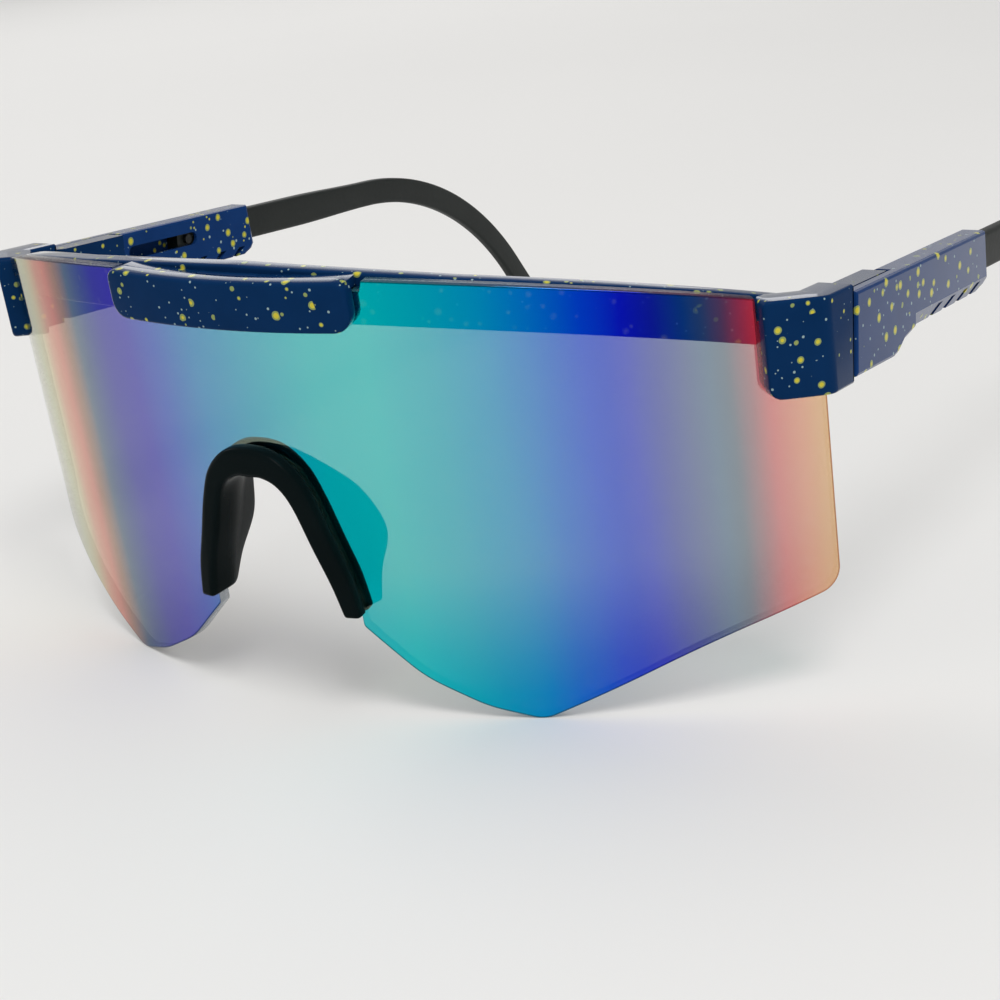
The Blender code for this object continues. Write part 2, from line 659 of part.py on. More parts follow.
def fold_screw(name, side, fold):
    """Hinge screw put in from below, its head sunk in the lower ear."""
    head_low = GAP - KNUCKLE_HEIGHT
    head_high = head_low + SCREW_HEAD_HEIGHT
    profile = [(0, -SCREW_TIP_BELOW_TOP), (SCREW_RADIUS, -SCREW_TIP_BELOW_TOP),
               (SCREW_RADIUS, head_high), (SCREW_HEAD_RADIUS, head_high),
               (SCREW_HEAD_RADIUS, head_low), (0, head_low)]
    screw = turned(f"{name}_fold_screw", profile, (side * FOLD_X, FOLD_Y, 0), (0, 0, 1))
    fold.hold(screw)
    slot_half = SCREW_HEAD_RADIUS * DRIVER_SLOT_SHARE
    driver = spread(f"screw_slot_{side}", side, FOLD_X - SCREW_HEAD_RADIUS - OVERRUN,
                    FOLD_X + SCREW_HEAD_RADIUS + OVERRUN,
                    (FOLD_Y - slot_half, FOLD_Y + slot_half),
                    (head_low - OVERRUN, head_low + SCREW_HEAD_HEIGHT / 2))
    fold.hold(driver)
    combine(screw, driver, "DIFFERENCE")
    finish(screw, STEEL)


def tilt_rivet(name, side, tilt):
    """Cross rivet: head sunk in the knuckle's inner face, shank fixed in the sleeve's wall."""
    head_inner = KNUCKLE_INNER + GAP / 2
    head_outer = head_inner + RIVET_HEAD_THICKNESS
    tip = SLEEVE_WALL_X + RIVET_GRIP
    profile = [(0, tip), (RIVET_RADIUS, tip), (RIVET_RADIUS, head_outer),
               (RIVET_HEAD_RADIUS, head_outer), (RIVET_HEAD_RADIUS, head_inner), (0, head_inner)]
    rivet = turned(f"{name}_tilt_rivet", profile, (0, TILT_Y, TILT_Z), (side, 0, 0))
    tilt.hold(rivet)
    finish(rivet, STEEL)


def friction_washer(name, side, tilt):
    """Flat ring between the knuckle and the sleeve's wall."""
    inner = RIVET_RADIUS + PIN_PLAY
    low = KNUCKLE_OUTER - WASHER_THICKNESS + GAP / 2
    high = low + WASHER_THICKNESS
    washer = rod(f"{name}_friction_washer", WASHER_RADIUS, (side * low, TILT_Y, TILT_Z),
                 (side * high, TILT_Y, TILT_Z))
    tilt.hold(washer)
    hole = rod(f"washer_hole_{side}", inner, (side * (low - OVERRUN), TILT_Y, TILT_Z),
               (side * (high + OVERRUN), TILT_Y, TILT_Z))
    tilt.hold(hole)
    combine(washer, hole, "DIFFERENCE")
    finish(washer, NYLON)


def temple_sleeve(name, side, tilt):
    """Sleeve: an outer wall beside the knuckle, then a box that the arm slides in."""
    outline = [(x * SLEEVE_LENGTH, z * SLEEVE_HEIGHT) for x, z in SLEEVE_OUTLINE_SHARES]
    low, high = sorted((side * SLEEVE_INNER, side * TEMPLE_OUTER))
    sleeve = slab(f"{name}_temple_sleeve", outline, low, high, SLEEVE_EDGE, SIDE)
    tilt.hold(sleeve)

    half_width = ARM_THICKNESS / 2 + CHANNEL_PLAY
    half_height = ARM_HEIGHT / 2 + CHANNEL_PLAY
    slot_half = SLOT_HEIGHT / 2
    slot_end = slot_half * ROUND_END_SHARE
    slot = rounded([(SLOT_FRONT, ARM_Z - slot_half, slot_end), (SLOT_REAR, ARM_Z - slot_half, slot_end),
                    (SLOT_REAR, ARM_Z + slot_half, slot_end), (SLOT_FRONT, ARM_Z + slot_half, slot_end)])
    slot_low, slot_high = sorted((side * (SLEEVE_INNER - OVERRUN), side * ARM_X))
    cuts = [
        spread(f"knuckle_room_{side}", side, SLEEVE_INNER - OVERRUN, SLEEVE_WALL_X,
               (-OVERRUN, KNUCKLE_REAR + SLEEVE_SEAM), (-SLEEVE_HEIGHT - OVERRUN, OVERRUN)),
        spread(f"arm_channel_{side}", side, ARM_X - half_width, ARM_X + half_width,
               (CHANNEL_FRONT, SLEEVE_LENGTH + OVERRUN), (ARM_Z - half_height, ARM_Z + half_height)),
        slab(f"stud_slot_{side}", slot, slot_low, slot_high, basis=SIDE),
        rod(f"rivet_hole_{side}", RIVET_RADIUS + PIN_PLAY,
            (side * (SLEEVE_WALL_X - OVERRUN), TILT_Y, TILT_Z),
            (side * (SLEEVE_WALL_X + RIVET_GRIP + PIN_PLAY), TILT_Y, TILT_Z))]
    slope = Vector((BEVEL_DEPTH, BEVEL_HEIGHT))
    upper = Vector((TEMPLE_OUTER, BEVEL_TOP_Z)) + slope / 2
    lower = upper - 2 * slope
    out = Vector((OVERRUN, 0))
    bevel = [(side * x, z) for x, z in (upper, lower, lower + out, upper + out)]
    cuts.append(slab(f"lower_bevel_{side}", bevel, -SLEEVE_LENGTH - OVERRUN, -BEVEL_FRONT, basis=ACROSS))
    down = Vector((-math.cos(GROOVE_SLANT), -math.sin(GROOVE_SLANT))) * GROOVE_LENGTH
    wide = Vector((GROOVE_WIDTH, 0))
    groove_low, groove_high = sorted((side * (SLEEVE_INNER - OVERRUN), side * (TEMPLE_OUTER + OVERRUN)))
    for index in range(GROOVE_COUNT):
        top = Vector((GROOVE_FIRST_Y + index * GROOVE_PITCH, GROOVE_TOP_Z))
        groove = [top, top + down, top + down + wide, top + wide]
        cuts.append(slab(f"groove_{index}_{side}", groove, groove_low, groove_high, basis=SIDE))
    for cutter in cuts:
        tilt.hold(cutter)
        combine(sleeve, cutter, "DIFFERENCE")
    finish(sleeve, PAINT)


def arm_path():
    """Centre line of the arm as (y, z, share of the full section): tang, taper, ear bend and tip."""
    path = [(ARM_FRONT, ARM_Z, 1), (TAPER_START, ARM_Z, 1)]
    for step in range(1, TAPER_STEPS + 1):
        ease = step / TAPER_STEPS
        share = 1 - (1 - REAR_SHARE) * ease * ease * (3 - 2 * ease)
        path.append((TAPER_START + (TAPER_END - TAPER_START) * ease, ARM_Z, share))
    for step in range(BEND_STEPS + 1):
        angle = EAR_BEND_ANGLE * step / BEND_STEPS
        path.append((EAR_BEND_Y + EAR_BEND_RADIUS * math.sin(angle),
                     ARM_Z - EAR_BEND_RADIUS * (1 - math.cos(angle)), REAR_SHARE))
    bend_y, bend_z, _ = path[-1]
    ahead = math.cos(EAR_BEND_ANGLE), -math.sin(EAR_BEND_ANGLE)
    for step in range(TIP_STEPS + 1):
        angle = TIP_TURN * step / TIP_STEPS
        length = EAR_END_LENGTH - TIP_LENGTH * (1 - math.sin(angle))
        path.append((bend_y + ahead[0] * length, bend_z + ahead[1] * length,
                     REAR_SHARE * math.cos(angle)))
    return path


def temple_arm(name, side, slide):
    """Flat rod along the arm's path, drilled for its stud."""
    half_x, half_z = ARM_THICKNESS / 2, ARM_HEIGHT / 2
    section = bpy.data.curves.new(f"{name}_arm_section", "CURVE")
    ring = rounded([(-half_x, -half_z, ARM_CORNER), (half_x, -half_z, ARM_CORNER),
                    (half_x, half_z, ARM_CORNER), (-half_x, half_z, ARM_CORNER)])
    spline = section.splines.new("POLY")
    spline.points.add(len(ring) - 1)
    for point, place in zip(spline.points, ring):
        point.co = (*place, 0, 1)
    spline.use_cyclic_u = True
    profile = bpy.data.objects.new(f"{name}_arm_section", section)
    cutters.objects.link(profile)
    profile.hide_render = True
    profile.display_type = "WIRE"

    curve = bpy.data.curves.new(f"{name}_temple_arm", "CURVE")
    curve.dimensions = "3D"
    curve.twist_mode = "Z_UP"
    curve.bevel_mode = "OBJECT"
    curve.bevel_object = profile
    curve.use_fill_caps = True
    path = arm_path()
    spline = curve.splines.new("POLY")
    spline.points.add(len(path) - 1)
    for point, (y, z, share) in zip(spline.points, path):
        point.co = (side * ARM_X, y, z, 1)
        point.radius = share
    rail = bpy.data.objects.new(f"{name}_temple_arm", curve)
    parts.objects.link(rail)
    arm = to_mesh(rail)
    bpy.data.objects.remove(profile, do_unlink=True)
    slide.hold(arm)
    face = ARM_X - ARM_THICKNESS / 2
    hole = rod(f"stud_hole_{side}", STUD_RADIUS + PIN_PLAY, (side * (face - OVERRUN), STUD_Y, ARM_Z),
               (side * (face + STUD_DEPTH + PIN_PLAY), STUD_Y, ARM_Z))
    slide.hold(hole)
    combine(arm, hole, "DIFFERENCE")
    finish(arm, NYLON)


def click_stud(name, side, slide):
    """Stud fixed in the arm that runs in the sleeve's slot and stops the arm at its ends."""
    face = ARM_X - ARM_THICKNESS / 2
    stud = rod(f"{name}_click_stud", STUD_RADIUS, (side * (SLEEVE_INNER + STUD_SINK), STUD_Y, ARM_Z),
               (side * (face + STUD_DEPTH), STUD_Y, ARM_Z))
    slide.hold(stud)
    finish(stud, NYLON)


def seat_on_ground(front):
    """Move everything so that it stands on Z 0, centred on X and Y."""
    bpy.context.view_layer.update()
    depsgraph = bpy.context.evaluated_depsgraph_get()
    corners = []
    for thing in parts.objects:
        if thing.type == "MESH":
            shape = thing.evaluated_get(depsgraph)
            corners += [shape.matrix_world @ vertex.co for vertex in shape.data.vertices]
    low = Vector(min(corner[axis] for corner in corners) for axis in range(3))
    high = Vector(max(corner[axis] for corner in corners) for axis in range(3))
    front.empty.location -= Vector(((low.x + high.x) / 2, (low.y + high.y) / 2, low.z))
    bpy.context.view_layer.update()


front_stand = Axis("front_stand", (0, 0, 0), turn=FRONT_LEAN)
frames = {}
for title, sign in (("left", 1), ("right", -1)):
    frames[sign] = Axis(f"{title}_temple_frame", (0, HINGE_Y, HINGE_Z), front_stand, -TEMPLE_DROP)
    fold_axis = Axis(f"{title}_fold_axis", (sign * FOLD_X, FOLD_Y, 0), frames[sign])
    tilt_axis = Axis(f"{title}_tilt_axis", (sign * FOLD_X, TILT_Y, TILT_Z), fold_axis)
    length_axis = Axis(f"{title}_length_axis", (sign * ARM_X, STUD_Y, ARM_Z), tilt_axis)
    hinge_knuckle(title, sign, fold_axis)
    fold_screw(title, sign, fold_axis)
    tilt_rivet(title, sign, tilt_axis)
    friction_washer(title, sign, tilt_axis)
    temple_sleeve(title, sign, tilt_axis)
    temple_arm(title, sign, length_axis)
    click_stud(title, sign, length_axis)
shield_lens(front_stand)
nose_bridge(front_stand)
frame_front(front_stand, frames)
seat_on_ground(front_stand)
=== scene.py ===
import json
import math

import bpy
import numpy as np
from mathutils import Matrix, Vector


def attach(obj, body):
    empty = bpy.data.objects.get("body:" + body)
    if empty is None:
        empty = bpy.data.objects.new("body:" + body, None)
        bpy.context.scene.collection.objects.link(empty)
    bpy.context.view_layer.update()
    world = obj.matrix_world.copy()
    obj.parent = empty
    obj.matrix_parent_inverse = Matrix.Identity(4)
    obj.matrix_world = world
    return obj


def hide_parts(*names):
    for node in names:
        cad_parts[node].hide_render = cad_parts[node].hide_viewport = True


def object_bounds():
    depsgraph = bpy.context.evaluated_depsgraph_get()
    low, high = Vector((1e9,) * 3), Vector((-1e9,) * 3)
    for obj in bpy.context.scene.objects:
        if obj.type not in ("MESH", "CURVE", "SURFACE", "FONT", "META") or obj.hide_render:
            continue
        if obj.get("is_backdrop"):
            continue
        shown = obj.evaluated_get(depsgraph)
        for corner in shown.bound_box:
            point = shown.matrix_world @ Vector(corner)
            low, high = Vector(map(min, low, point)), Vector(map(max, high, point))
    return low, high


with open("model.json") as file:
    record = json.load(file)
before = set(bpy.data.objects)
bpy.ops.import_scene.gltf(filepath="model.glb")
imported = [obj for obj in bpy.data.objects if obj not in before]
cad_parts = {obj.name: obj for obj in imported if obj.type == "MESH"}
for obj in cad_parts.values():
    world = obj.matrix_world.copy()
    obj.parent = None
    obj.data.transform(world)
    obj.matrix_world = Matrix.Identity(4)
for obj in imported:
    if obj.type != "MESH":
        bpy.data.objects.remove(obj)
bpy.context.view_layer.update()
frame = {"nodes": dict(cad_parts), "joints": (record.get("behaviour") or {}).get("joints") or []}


# Brow frame: one nylon moulding that carries everything else. A wall runs behind the top of the
# lens, a plate sits in front of it at the middle, and a clip at each end grips the lens's side.
# It is lacquered navy and splashed with yellow and pale droplets under a clear gloss coat.
LEAN = math.radians(4.85)
DROP = math.radians(9.1)
FOLD_X, FOLD_BEHIND, CORNER_Y, CORNER_Z = 0.068025, 0.0016, 0.03856, 0.05197
UPRIGHT_HINGE = (FOLD_X, CORNER_Y + FOLD_BEHIND * math.cos(DROP), CORNER_Z - FOLD_BEHIND * math.sin(DROP))
TURN = np.array(Matrix.Rotation(LEAN, 3, "X"))
hinge = next(joint for joint in frame["joints"] if joint["name"] == "left_fold")
SHIFT = np.array(hinge["pos_m"]) - TURN @ np.array(UPRIGHT_HINGE)
CURVE, LENS_DEEP, LENS_TALL, AIR = 0.094, 0.0018, 0.064, 0.0003
BROW_DROP, BROW_DROP_ARC, BROW_DROP_POWER = 0.0087, 0.070, 2.2


def stand(x, y, z):
    """Points of the upright front, leaned back by LEAN and moved to where the CAD front stands."""
    return np.stack(np.broadcast_arrays(x, y, z), -1) @ TURN.T + SHIFT


def on_curve(arc, depth, height):
    """Points behind the lens front: a circle of radius CURVE - depth, turned by arc / CURVE."""
    reach = CURVE - np.asarray(depth)
    angle = np.asarray(arc) / CURVE
    return stand(reach * np.sin(angle), CURVE - reach * np.cos(angle), height)


def brow(arc):
    """Height of the lens's top: LENS_TALL - BROW_DROP * (arc / BROW_DROP_ARC) ^ BROW_DROP_POWER."""
    return LENS_TALL - BROW_DROP * (np.abs(arc) / BROW_DROP_ARC) ** BROW_DROP_POWER


def moulding(place, along, top, bottom, near, far, edge, steps=4, back_edge=None):
    """Closed plate with rounded rims, as (points, faces).

    Its outline runs along the top and back along the bottom. Each row of the grid is the outline,
    moved in by edge * (1 - sin t) and back by edge * (1 - cos t) at the front rim, and the same
    with back_edge at the back rim. place(along, depth, height) bends every point.
    """
    rear = edge if back_edge is None else back_edge
    outline = np.concatenate([np.stack([along, top], 1), np.stack([along, bottom], 1)[::-1]])
    ahead = np.roll(outline, -1, 0) - outline
    ahead /= np.linalg.norm(ahead, axis=1, keepdims=True)
    mean = ahead + np.roll(ahead, 1, 0)
    mean /= (mean * ahead).sum(1, keepdims=True)
    outward = np.stack([-mean[:, 1], mean[:, 0]], 1)
    turn = np.linspace(0, math.pi / 2, steps + 1)
    inset = np.concatenate([edge * (1 - np.sin(turn)), rear * (1 - np.sin(turn[::-1]))])
    front_rim, back_rim = edge * (1 - np.cos(turn)), rear * (1 - np.cos(turn[::-1]))
    depth = np.concatenate([near + front_rim, far - back_rim])
    flat = outline[None] - outward[None] * inset[:, None, None]
    rows, count = flat.shape[:2]
    points = place(flat[..., 0], np.repeat(depth[:, None], count, 1), flat[..., 1])
    row, column = np.meshgrid(np.arange(rows - 1), np.arange(count), indexing="ij")
    after = (column + 1) % count
    wall = np.stack([row * count + column, (row + 1) * count + column,
                     (row + 1) * count + after, row * count + after], -1).reshape(-1, 4)
    step = np.arange(count // 2 - 1)
    front = np.stack([step, step + 1, count - 2 - step, count - 1 - step], 1)
    back = front[:, ::-1] + (rows - 1) * count
    return points.reshape(-1, 3), np.concatenate([wall, front, back])


def facing_out(points, faces):
    """The faces, turned round where the shell's signed volume comes out negative."""
    a, b, c, d = (points[faces[:, k]] - points.mean(0) for k in range(4))
    volume = (a * np.cross(b, c)).sum() + (a * np.cross(c, d)).sum()
    return faces if volume > 0 else faces[:, ::-1]


def skin(name, shells, finish, smooth):
    """Mesh object of closed shells of four-sided faces, smooth up to an angle in degrees."""
    points, faces, start = [], [], 0
    for shell_points, shell_faces in shells:
        points.append(shell_points)
        faces.append(facing_out(shell_points, shell_faces) + start)
        start += len(shell_points)
    mesh = bpy.data.meshes.new(name)
    mesh.from_pydata(np.concatenate(points).tolist(), [], np.concatenate(faces).tolist())
    mesh.shade_smooth()
    mesh.set_sharp_from_angle(angle=math.radians(smooth))
    mesh.materials.append(finish)
    piece = bpy.data.objects.new(name, mesh)
    bpy.context.scene.collection.objects.link(piece)
    return piece


def crowded(low, high, edge, middle=40):
    """Stations from low to high that crowd towards both ends as points of a quarter circle do."""
    round_in = edge * (1 - np.cos(np.linspace(0, math.pi / 2, 7)))
    inner = np.linspace(low + edge, high - edge, middle)
    return np.concatenate([low + round_in[:-1], inner, high - round_in[:-1][::-1]])


def corner_fall(along, low, high, radius):
    """How far an outline falls at its rounded ends: radius - sqrt(radius^2 - overlap^2)."""
    overlap = np.maximum(0, np.maximum(low + radius - along, along - (high - radius)))
    return radius - np.sqrt(np.maximum(0, radius ** 2 - overlap ** 2))


WALL_NEAR, WALL_FAR, WALL_TALL, WALL_END, WALL_EDGE = 0.0021, 0.0045, 0.0068, 0.0766, 0.0004
WALL_STATIONS, WALL_CROWN, WALL_CROWN_ARC = 161, 0.0007, 0.032
PLATE_HALF, PLATE_DEEP, PLATE_TALL = 0.0195, 0.00197, 0.0069
PLATE_CORNER, PLATE_TOP_CORNER, PLATE_EDGE, PLATE_BACK_EDGE = 0.0025, 0.0015, 0.0006, 0.0001
WEB_TOP, WEB_LOW, WEB_REACH = LENS_TALL - 0.0003, LENS_TALL - 0.0016, 0.0192
WEB_NEAR, WEB_FAR, WEB_EDGE, WEB_STATIONS = -0.0013, 0.0033, 0.0001, 12
SLOT_HALF, SLOT_DEEP = 0.0049, 0.0010

arc = np.linspace(-WALL_END, WALL_END, WALL_STATIONS)
top = brow(arc) + WALL_CROWN * np.maximum(0, 1 - np.abs(arc) / WALL_CROWN_ARC)
brow_wall = moulding(on_curve, arc, top, brow(arc) - WALL_TALL, WALL_NEAR, WALL_FAR, WALL_EDGE)

arc = crowded(-PLATE_HALF, PLATE_HALF, PLATE_CORNER)
plate_top = LENS_TALL - corner_fall(arc, -PLATE_HALF, PLATE_HALF, PLATE_TOP_CORNER)
plate_low = LENS_TALL - PLATE_TALL + corner_fall(arc, -PLATE_HALF, PLATE_HALF, PLATE_CORNER)
brow_plate = moulding(on_curve, arc, plate_top, plate_low, -AIR - PLATE_DEEP, 0, PLATE_EDGE,
                      back_edge=PLATE_BACK_EDGE)


def web_strip(low, high, near, far):
    """Flat strip of the web between two arcs and two depths."""
    span = np.linspace(low, high, WEB_STATIONS)
    level = np.ones(WEB_STATIONS)
    return moulding(on_curve, span, level * WEB_TOP, level * WEB_LOW, near, far, WEB_EDGE, 2)


web = [web_strip(-WEB_REACH, -SLOT_HALF, WEB_NEAR, WEB_FAR),
       web_strip(SLOT_HALF, WEB_REACH, WEB_NEAR, WEB_FAR),
       web_strip(-SLOT_HALF, SLOT_HALF, WEB_NEAR, 0),
       web_strip(-SLOT_HALF, SLOT_HALF, SLOT_DEEP, WEB_FAR)]

CLIP_REACH, CLIP_SIDE, CLIP_INNER, CLIP_RADIUS = CURVE + 0.0024, 0.0716, 0.0663, 0.0025
CLIP_START, CLIP_DEEP, CLIP_TOP, CLIP_LOW, SEAM = 0.0703, 0.0055, 0.0011, -0.0120, 0.0010
CLIP_TOP_CORNER, CLIP_LOW_CORNER, CLIP_EDGE, CLIP_CROWD, CLIP_STATIONS = 0.0010, 0.0017, 0.0005, 0.0025, 50
TONGUE_FRONT, TONGUE_REAR, TONGUE_TOP, TONGUE_LOW = -0.0040, 0.0033, -0.0038, -0.0076
TONGUE_X, TONGUE_WIDE, TONGUE_EDGE, TONGUE_STATIONS = 0.06975, 0.00345, 0.0002, 9
first_turn = CLIP_START / CURVE
corner_turn = math.asin((CLIP_SIDE - CLIP_RADIUS) / (CLIP_REACH - CLIP_RADIUS))
inner_turn = math.asin(CLIP_INNER / (CURVE - WEB_FAR))
front_run = (corner_turn - first_turn) * CLIP_REACH
corner_run = (math.pi / 2 - corner_turn) * CLIP_RADIUS
corner_y = CURVE - (CLIP_REACH - CLIP_RADIUS) * math.cos(corner_turn)
clip_run = front_run + corner_run + CORNER_Y - corner_y


def temple_height(y, rise):
    """Height in the upright front of a point at y that lies at a rise above the temple's line."""
    return CORNER_Z + (rise - (y - CORNER_Y) * math.sin(DROP)) / math.cos(DROP)


def clip_place(side):
    """Bends a flat strip into a clip: along runs round the front, the corner and the side."""

    def place(along, depth, rise):
        """Outer and inner plan lines at the same share of their run, mixed by the depth."""
        rear = CORNER_Y - SEAM * math.cos(DROP) + rise * math.sin(DROP)
        turn = first_turn + np.minimum(along, front_run) / CLIP_REACH
        swing = corner_turn + np.clip(along - front_run, 0, corner_run) / CLIP_RADIUS
        back = np.clip((along - front_run - corner_run) / (clip_run - front_run - corner_run), 0, 1)
        bent = along > front_run
        x = np.where(bent, CLIP_SIDE + CLIP_RADIUS * (np.sin(swing) - 1), CLIP_REACH * np.sin(turn))
        y = np.where(bent, corner_y - CLIP_RADIUS * np.cos(swing), CURVE - CLIP_REACH * np.cos(turn))
        y = y + (rear - y) * back
        inner_share = np.clip(along / (front_run + corner_run), 0, 1)
        turn = first_turn + (inner_turn - first_turn) * inner_share
        inner_x = (CURVE - WEB_FAR) * np.sin(turn)
        inner_y = CURVE - (CURVE - WEB_FAR) * np.cos(turn)
        inner_y = inner_y + (rear - inner_y) * back
        share = depth / CLIP_DEEP
        x, y = x + (inner_x - x) * share, y + (inner_y - y) * share
        return stand(side * x, y, temple_height(y, rise))

    return place


def tongue_place(side):
    """Straight bar along the temple: along is y, depth is x inwards and rise is the height."""

    def place(along, depth, rise):
        """Temple coordinates turned by DROP into the upright front."""
        y = CORNER_Y + along * math.cos(DROP) + rise * math.sin(DROP)
        z = CORNER_Z - along * math.sin(DROP) + rise * math.cos(DROP)
        return stand(side * (TONGUE_X - depth), y, z)

    return place


clips, tongues = [], []
# A clip is rounded in front only: its rear corners are set beyond its end, which keeps it square
beyond = 2 * clip_run
for side in (1, -1):
    along = crowded(0, clip_run, CLIP_CROWD, CLIP_STATIONS)
    top = CLIP_TOP - corner_fall(along, 0, beyond, CLIP_TOP_CORNER)
    low = CLIP_LOW + corner_fall(along, 0, beyond, CLIP_LOW_CORNER)
    clips.append(moulding(clip_place(side), along, top, low, 0, CLIP_DEEP, CLIP_EDGE))
    along = np.linspace(TONGUE_FRONT, TONGUE_REAR, TONGUE_STATIONS)
    top, low = np.full(TONGUE_STATIONS, TONGUE_TOP), np.full(TONGUE_STATIONS, TONGUE_LOW)
    tongues.append(moulding(tongue_place(side), along, top, low, 0, TONGUE_WIDE, TONGUE_EDGE, 2))


class Shade:
    """One socket of a material. Arithmetic with numbers or other sockets adds Math nodes."""

    def __init__(self, finish, socket):
        self.finish = finish
        self.socket = socket

    def math(self, operation, *others):
        """Math node on this socket and others."""
        inputs = dict(enumerate((self, *others)))
        return self.finish.node("ShaderNodeMath", {"operation": operation}, inputs)[0]

    def __add__(self, other):
        return self.math("ADD", other)

    def __sub__(self, other):
        return self.math("SUBTRACT", other)

    def __rsub__(self, other):
        return self.math("MULTIPLY", -1).math("ADD", other)

    def __mul__(self, other):
        return self.math("MULTIPLY", other)

    def __truediv__(self, other):
        return self.math("DIVIDE", other)

    def kept(self, low, high):
        """The socket, kept from low to high."""
        return self.math("MAXIMUM", low).math("MINIMUM", high)

    def within(self, edge, soft):
        """0 where the socket lies above edge, rising to 1 over a soft width below it."""
        return ((edge - self) / soft).kept(0, 1)

    __radd__ = __add__
    __rmul__ = __mul__


class Finish:
    """A material that is put together node by node."""

    def __init__(self, name):
        self.material = bpy.data.materials.new(name)
        self.material.use_nodes = True
        self.tree = self.material.node_tree
        self.tree.nodes.clear()

    def node(self, kind, settings=None, inputs=None):
        """Adds a node: its settings first, with ramp stops as stops, then its sockets' values or links."""
        made = self.tree.nodes.new(kind)
        for name, value in (settings or {}).items():
            if name == "stops":
                ramp = made.color_ramp
                while len(ramp.elements) < len(value):
                    ramp.elements.new(1)
                for element, (place, colour) in zip(ramp.elements, value):
                    element.position = place
                    element.color = (*colour, 1)
            else:
                setattr(made, name, value)
        for name, value in (inputs or {}).items():
            if isinstance(value, Shade):
                self.tree.links.new(value.socket, made.inputs[name])
            else:
                made.inputs[name].default_value = value
        return [Shade(self, socket) for socket in made.outputs]

    def ramp(self, factor, stops):
        """Colour along a factor."""
        return self.node("ShaderNodeValToRGB", {"stops": stops}, {"Fac": factor})[0]

    def mix(self, factor, under, over):
        """Colour over another by a factor."""
        return self.node("ShaderNodeMix", {"data_type": "RGBA"}, {0: factor, 6: under, 7: over})[2]

    def place(self, scale=(1, 1, 1)):
        """Object coordinates, stretched."""
        where = self.node("ShaderNodeTexCoord")[3]
        return self.node("ShaderNodeMapping", None, {"Vector": where, "Scale": scale})[0]

    def bump(self, height, distance, strength):
        """Normal of a height that varies by a distance."""
        inputs = {"Height": height, "Distance": distance, "Strength": strength}
        return self.node("ShaderNodeBump", None, inputs)[0]

    def noise(self, where, scale, detail=2.0):
        """Even cloudy noise around 0.5."""
        return self.node("ShaderNodeTexNoise", None, {"Vector": where, "Scale": scale, "Detail": detail})[0]

    def tint(self, colour):
        """Clear shader that lets a colour through."""
        return self.node("ShaderNodeBsdfTransparent", None, {"Color": colour})[0]

    def blend(self, factor, under, over):
        """Shader over another by a factor."""
        return self.node("ShaderNodeMixShader", None, {0: factor, 1: under, 2: over})[0]

    def close(self, shader):
        """Puts the shader on the surface and gives the material back."""
        self.node("ShaderNodeOutputMaterial", None, {"Surface": shader})
        return self.material


def rgb(red, green, blue):
    """Linear colour of an 8-bit screen colour: ((c + 0.055) / 1.055) to the power 2.4 above 0.04."""
    screen = [value / 255 for value in (red, green, blue)]
    return [c / 12.92 if c <= 0.04045 else ((c + 0.055) / 1.055) ** 2.4 for c in screen]


def droplets(finish, where, cell, radius, keep):
    """Mask of round paint drops: one in each cell of a Voronoi pattern, of a size drawn per cell.

    Each drop is 0.35 to 1.1 times the radius. Drops fall in flurries: a slow noise times keep is
    the share of the cells that hold one.
    """
    wobble = finish.noise(where, 3 / cell)
    flurry = finish.noise(where, 0.22 / cell, 1.0)
    cells = finish.node("ShaderNodeTexVoronoi", None,
                        {"Vector": where, "Scale": 1 / cell, "Randomness": 1.0})
    luck = finish.node("ShaderNodeSeparateColor", None, {"Color": cells[1]})
    size = (luck[0] * 0.75 + 0.35) * luck[1].within(flurry * keep, 0.01) * (radius / cell)
    return (cells[0] + (wobble - 0.5) * 0.06).within(size, 0.02)


OLIVE_RIM, YELLOW_CORE, PALE_DROP = rgb(142, 156, 96), rgb(206, 192, 66), rgb(160, 186, 186)


def speckled(name, base, deep, spot, fleck, crowd, dull):
    """Lacquer: a soft mottle of two navies, yellow drops with olive rims and small pale drops.

    The clear coat's weight is 9 * (1 - cos of the angle to the eye - dull), kept from 0 to 1.
    """
    finish = Finish(name)
    where = finish.place()
    mottle = finish.noise(where, 160.0, 4.0)
    navy = finish.mix(mottle, [*rgb(*deep), 1], [*rgb(*base), 1])
    pale = droplets(finish, where, fleck * 6, fleck, 1.3 * crowd)
    yellow = droplets(finish, where, spot * 3.2, spot, 1.2 * crowd)
    core = droplets(finish, where, spot * 3.2, spot * 0.66, 1.2 * crowd)
    drop = finish.mix(core, [*OLIVE_RIM, 1], [*YELLOW_CORE, 1])
    colour = finish.mix(pale * 0.8, navy, [*PALE_DROP, 1])
    colour = finish.mix(yellow, colour, drop)
    orange_peel = finish.noise(where, 900.0)
    relief = finish.bump(orange_peel * 0.2 + yellow + pale * 0.4, 0.00003, 0.6)
    slant = finish.node("ShaderNodeLayerWeight", None, {"Blend": 0.5, "Normal": relief})[1]
    coat = ((slant - dull) * 9).kept(0, 1)
    shader = finish.node("ShaderNodeBsdfPrincipled", None, {
        "Base Color": colour, "Roughness": 0.26 + mottle * 0.12, "Specular IOR Level": 0.02,
        "Coat Weight": coat, "Coat Roughness": 0.05, "Normal": relief})[0]
    return finish.close(shader)


brow_paint = speckled("brow_lacquer", (12, 50, 94), (6, 40, 78), 0.00060, 0.00018, 1.15, 0.62)
brow_frame = skin("brow_frame", [brow_wall, brow_plate, *web, *clips, *tongues], brow_paint, 40)
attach(brow_frame, "front")
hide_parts("frame_front")


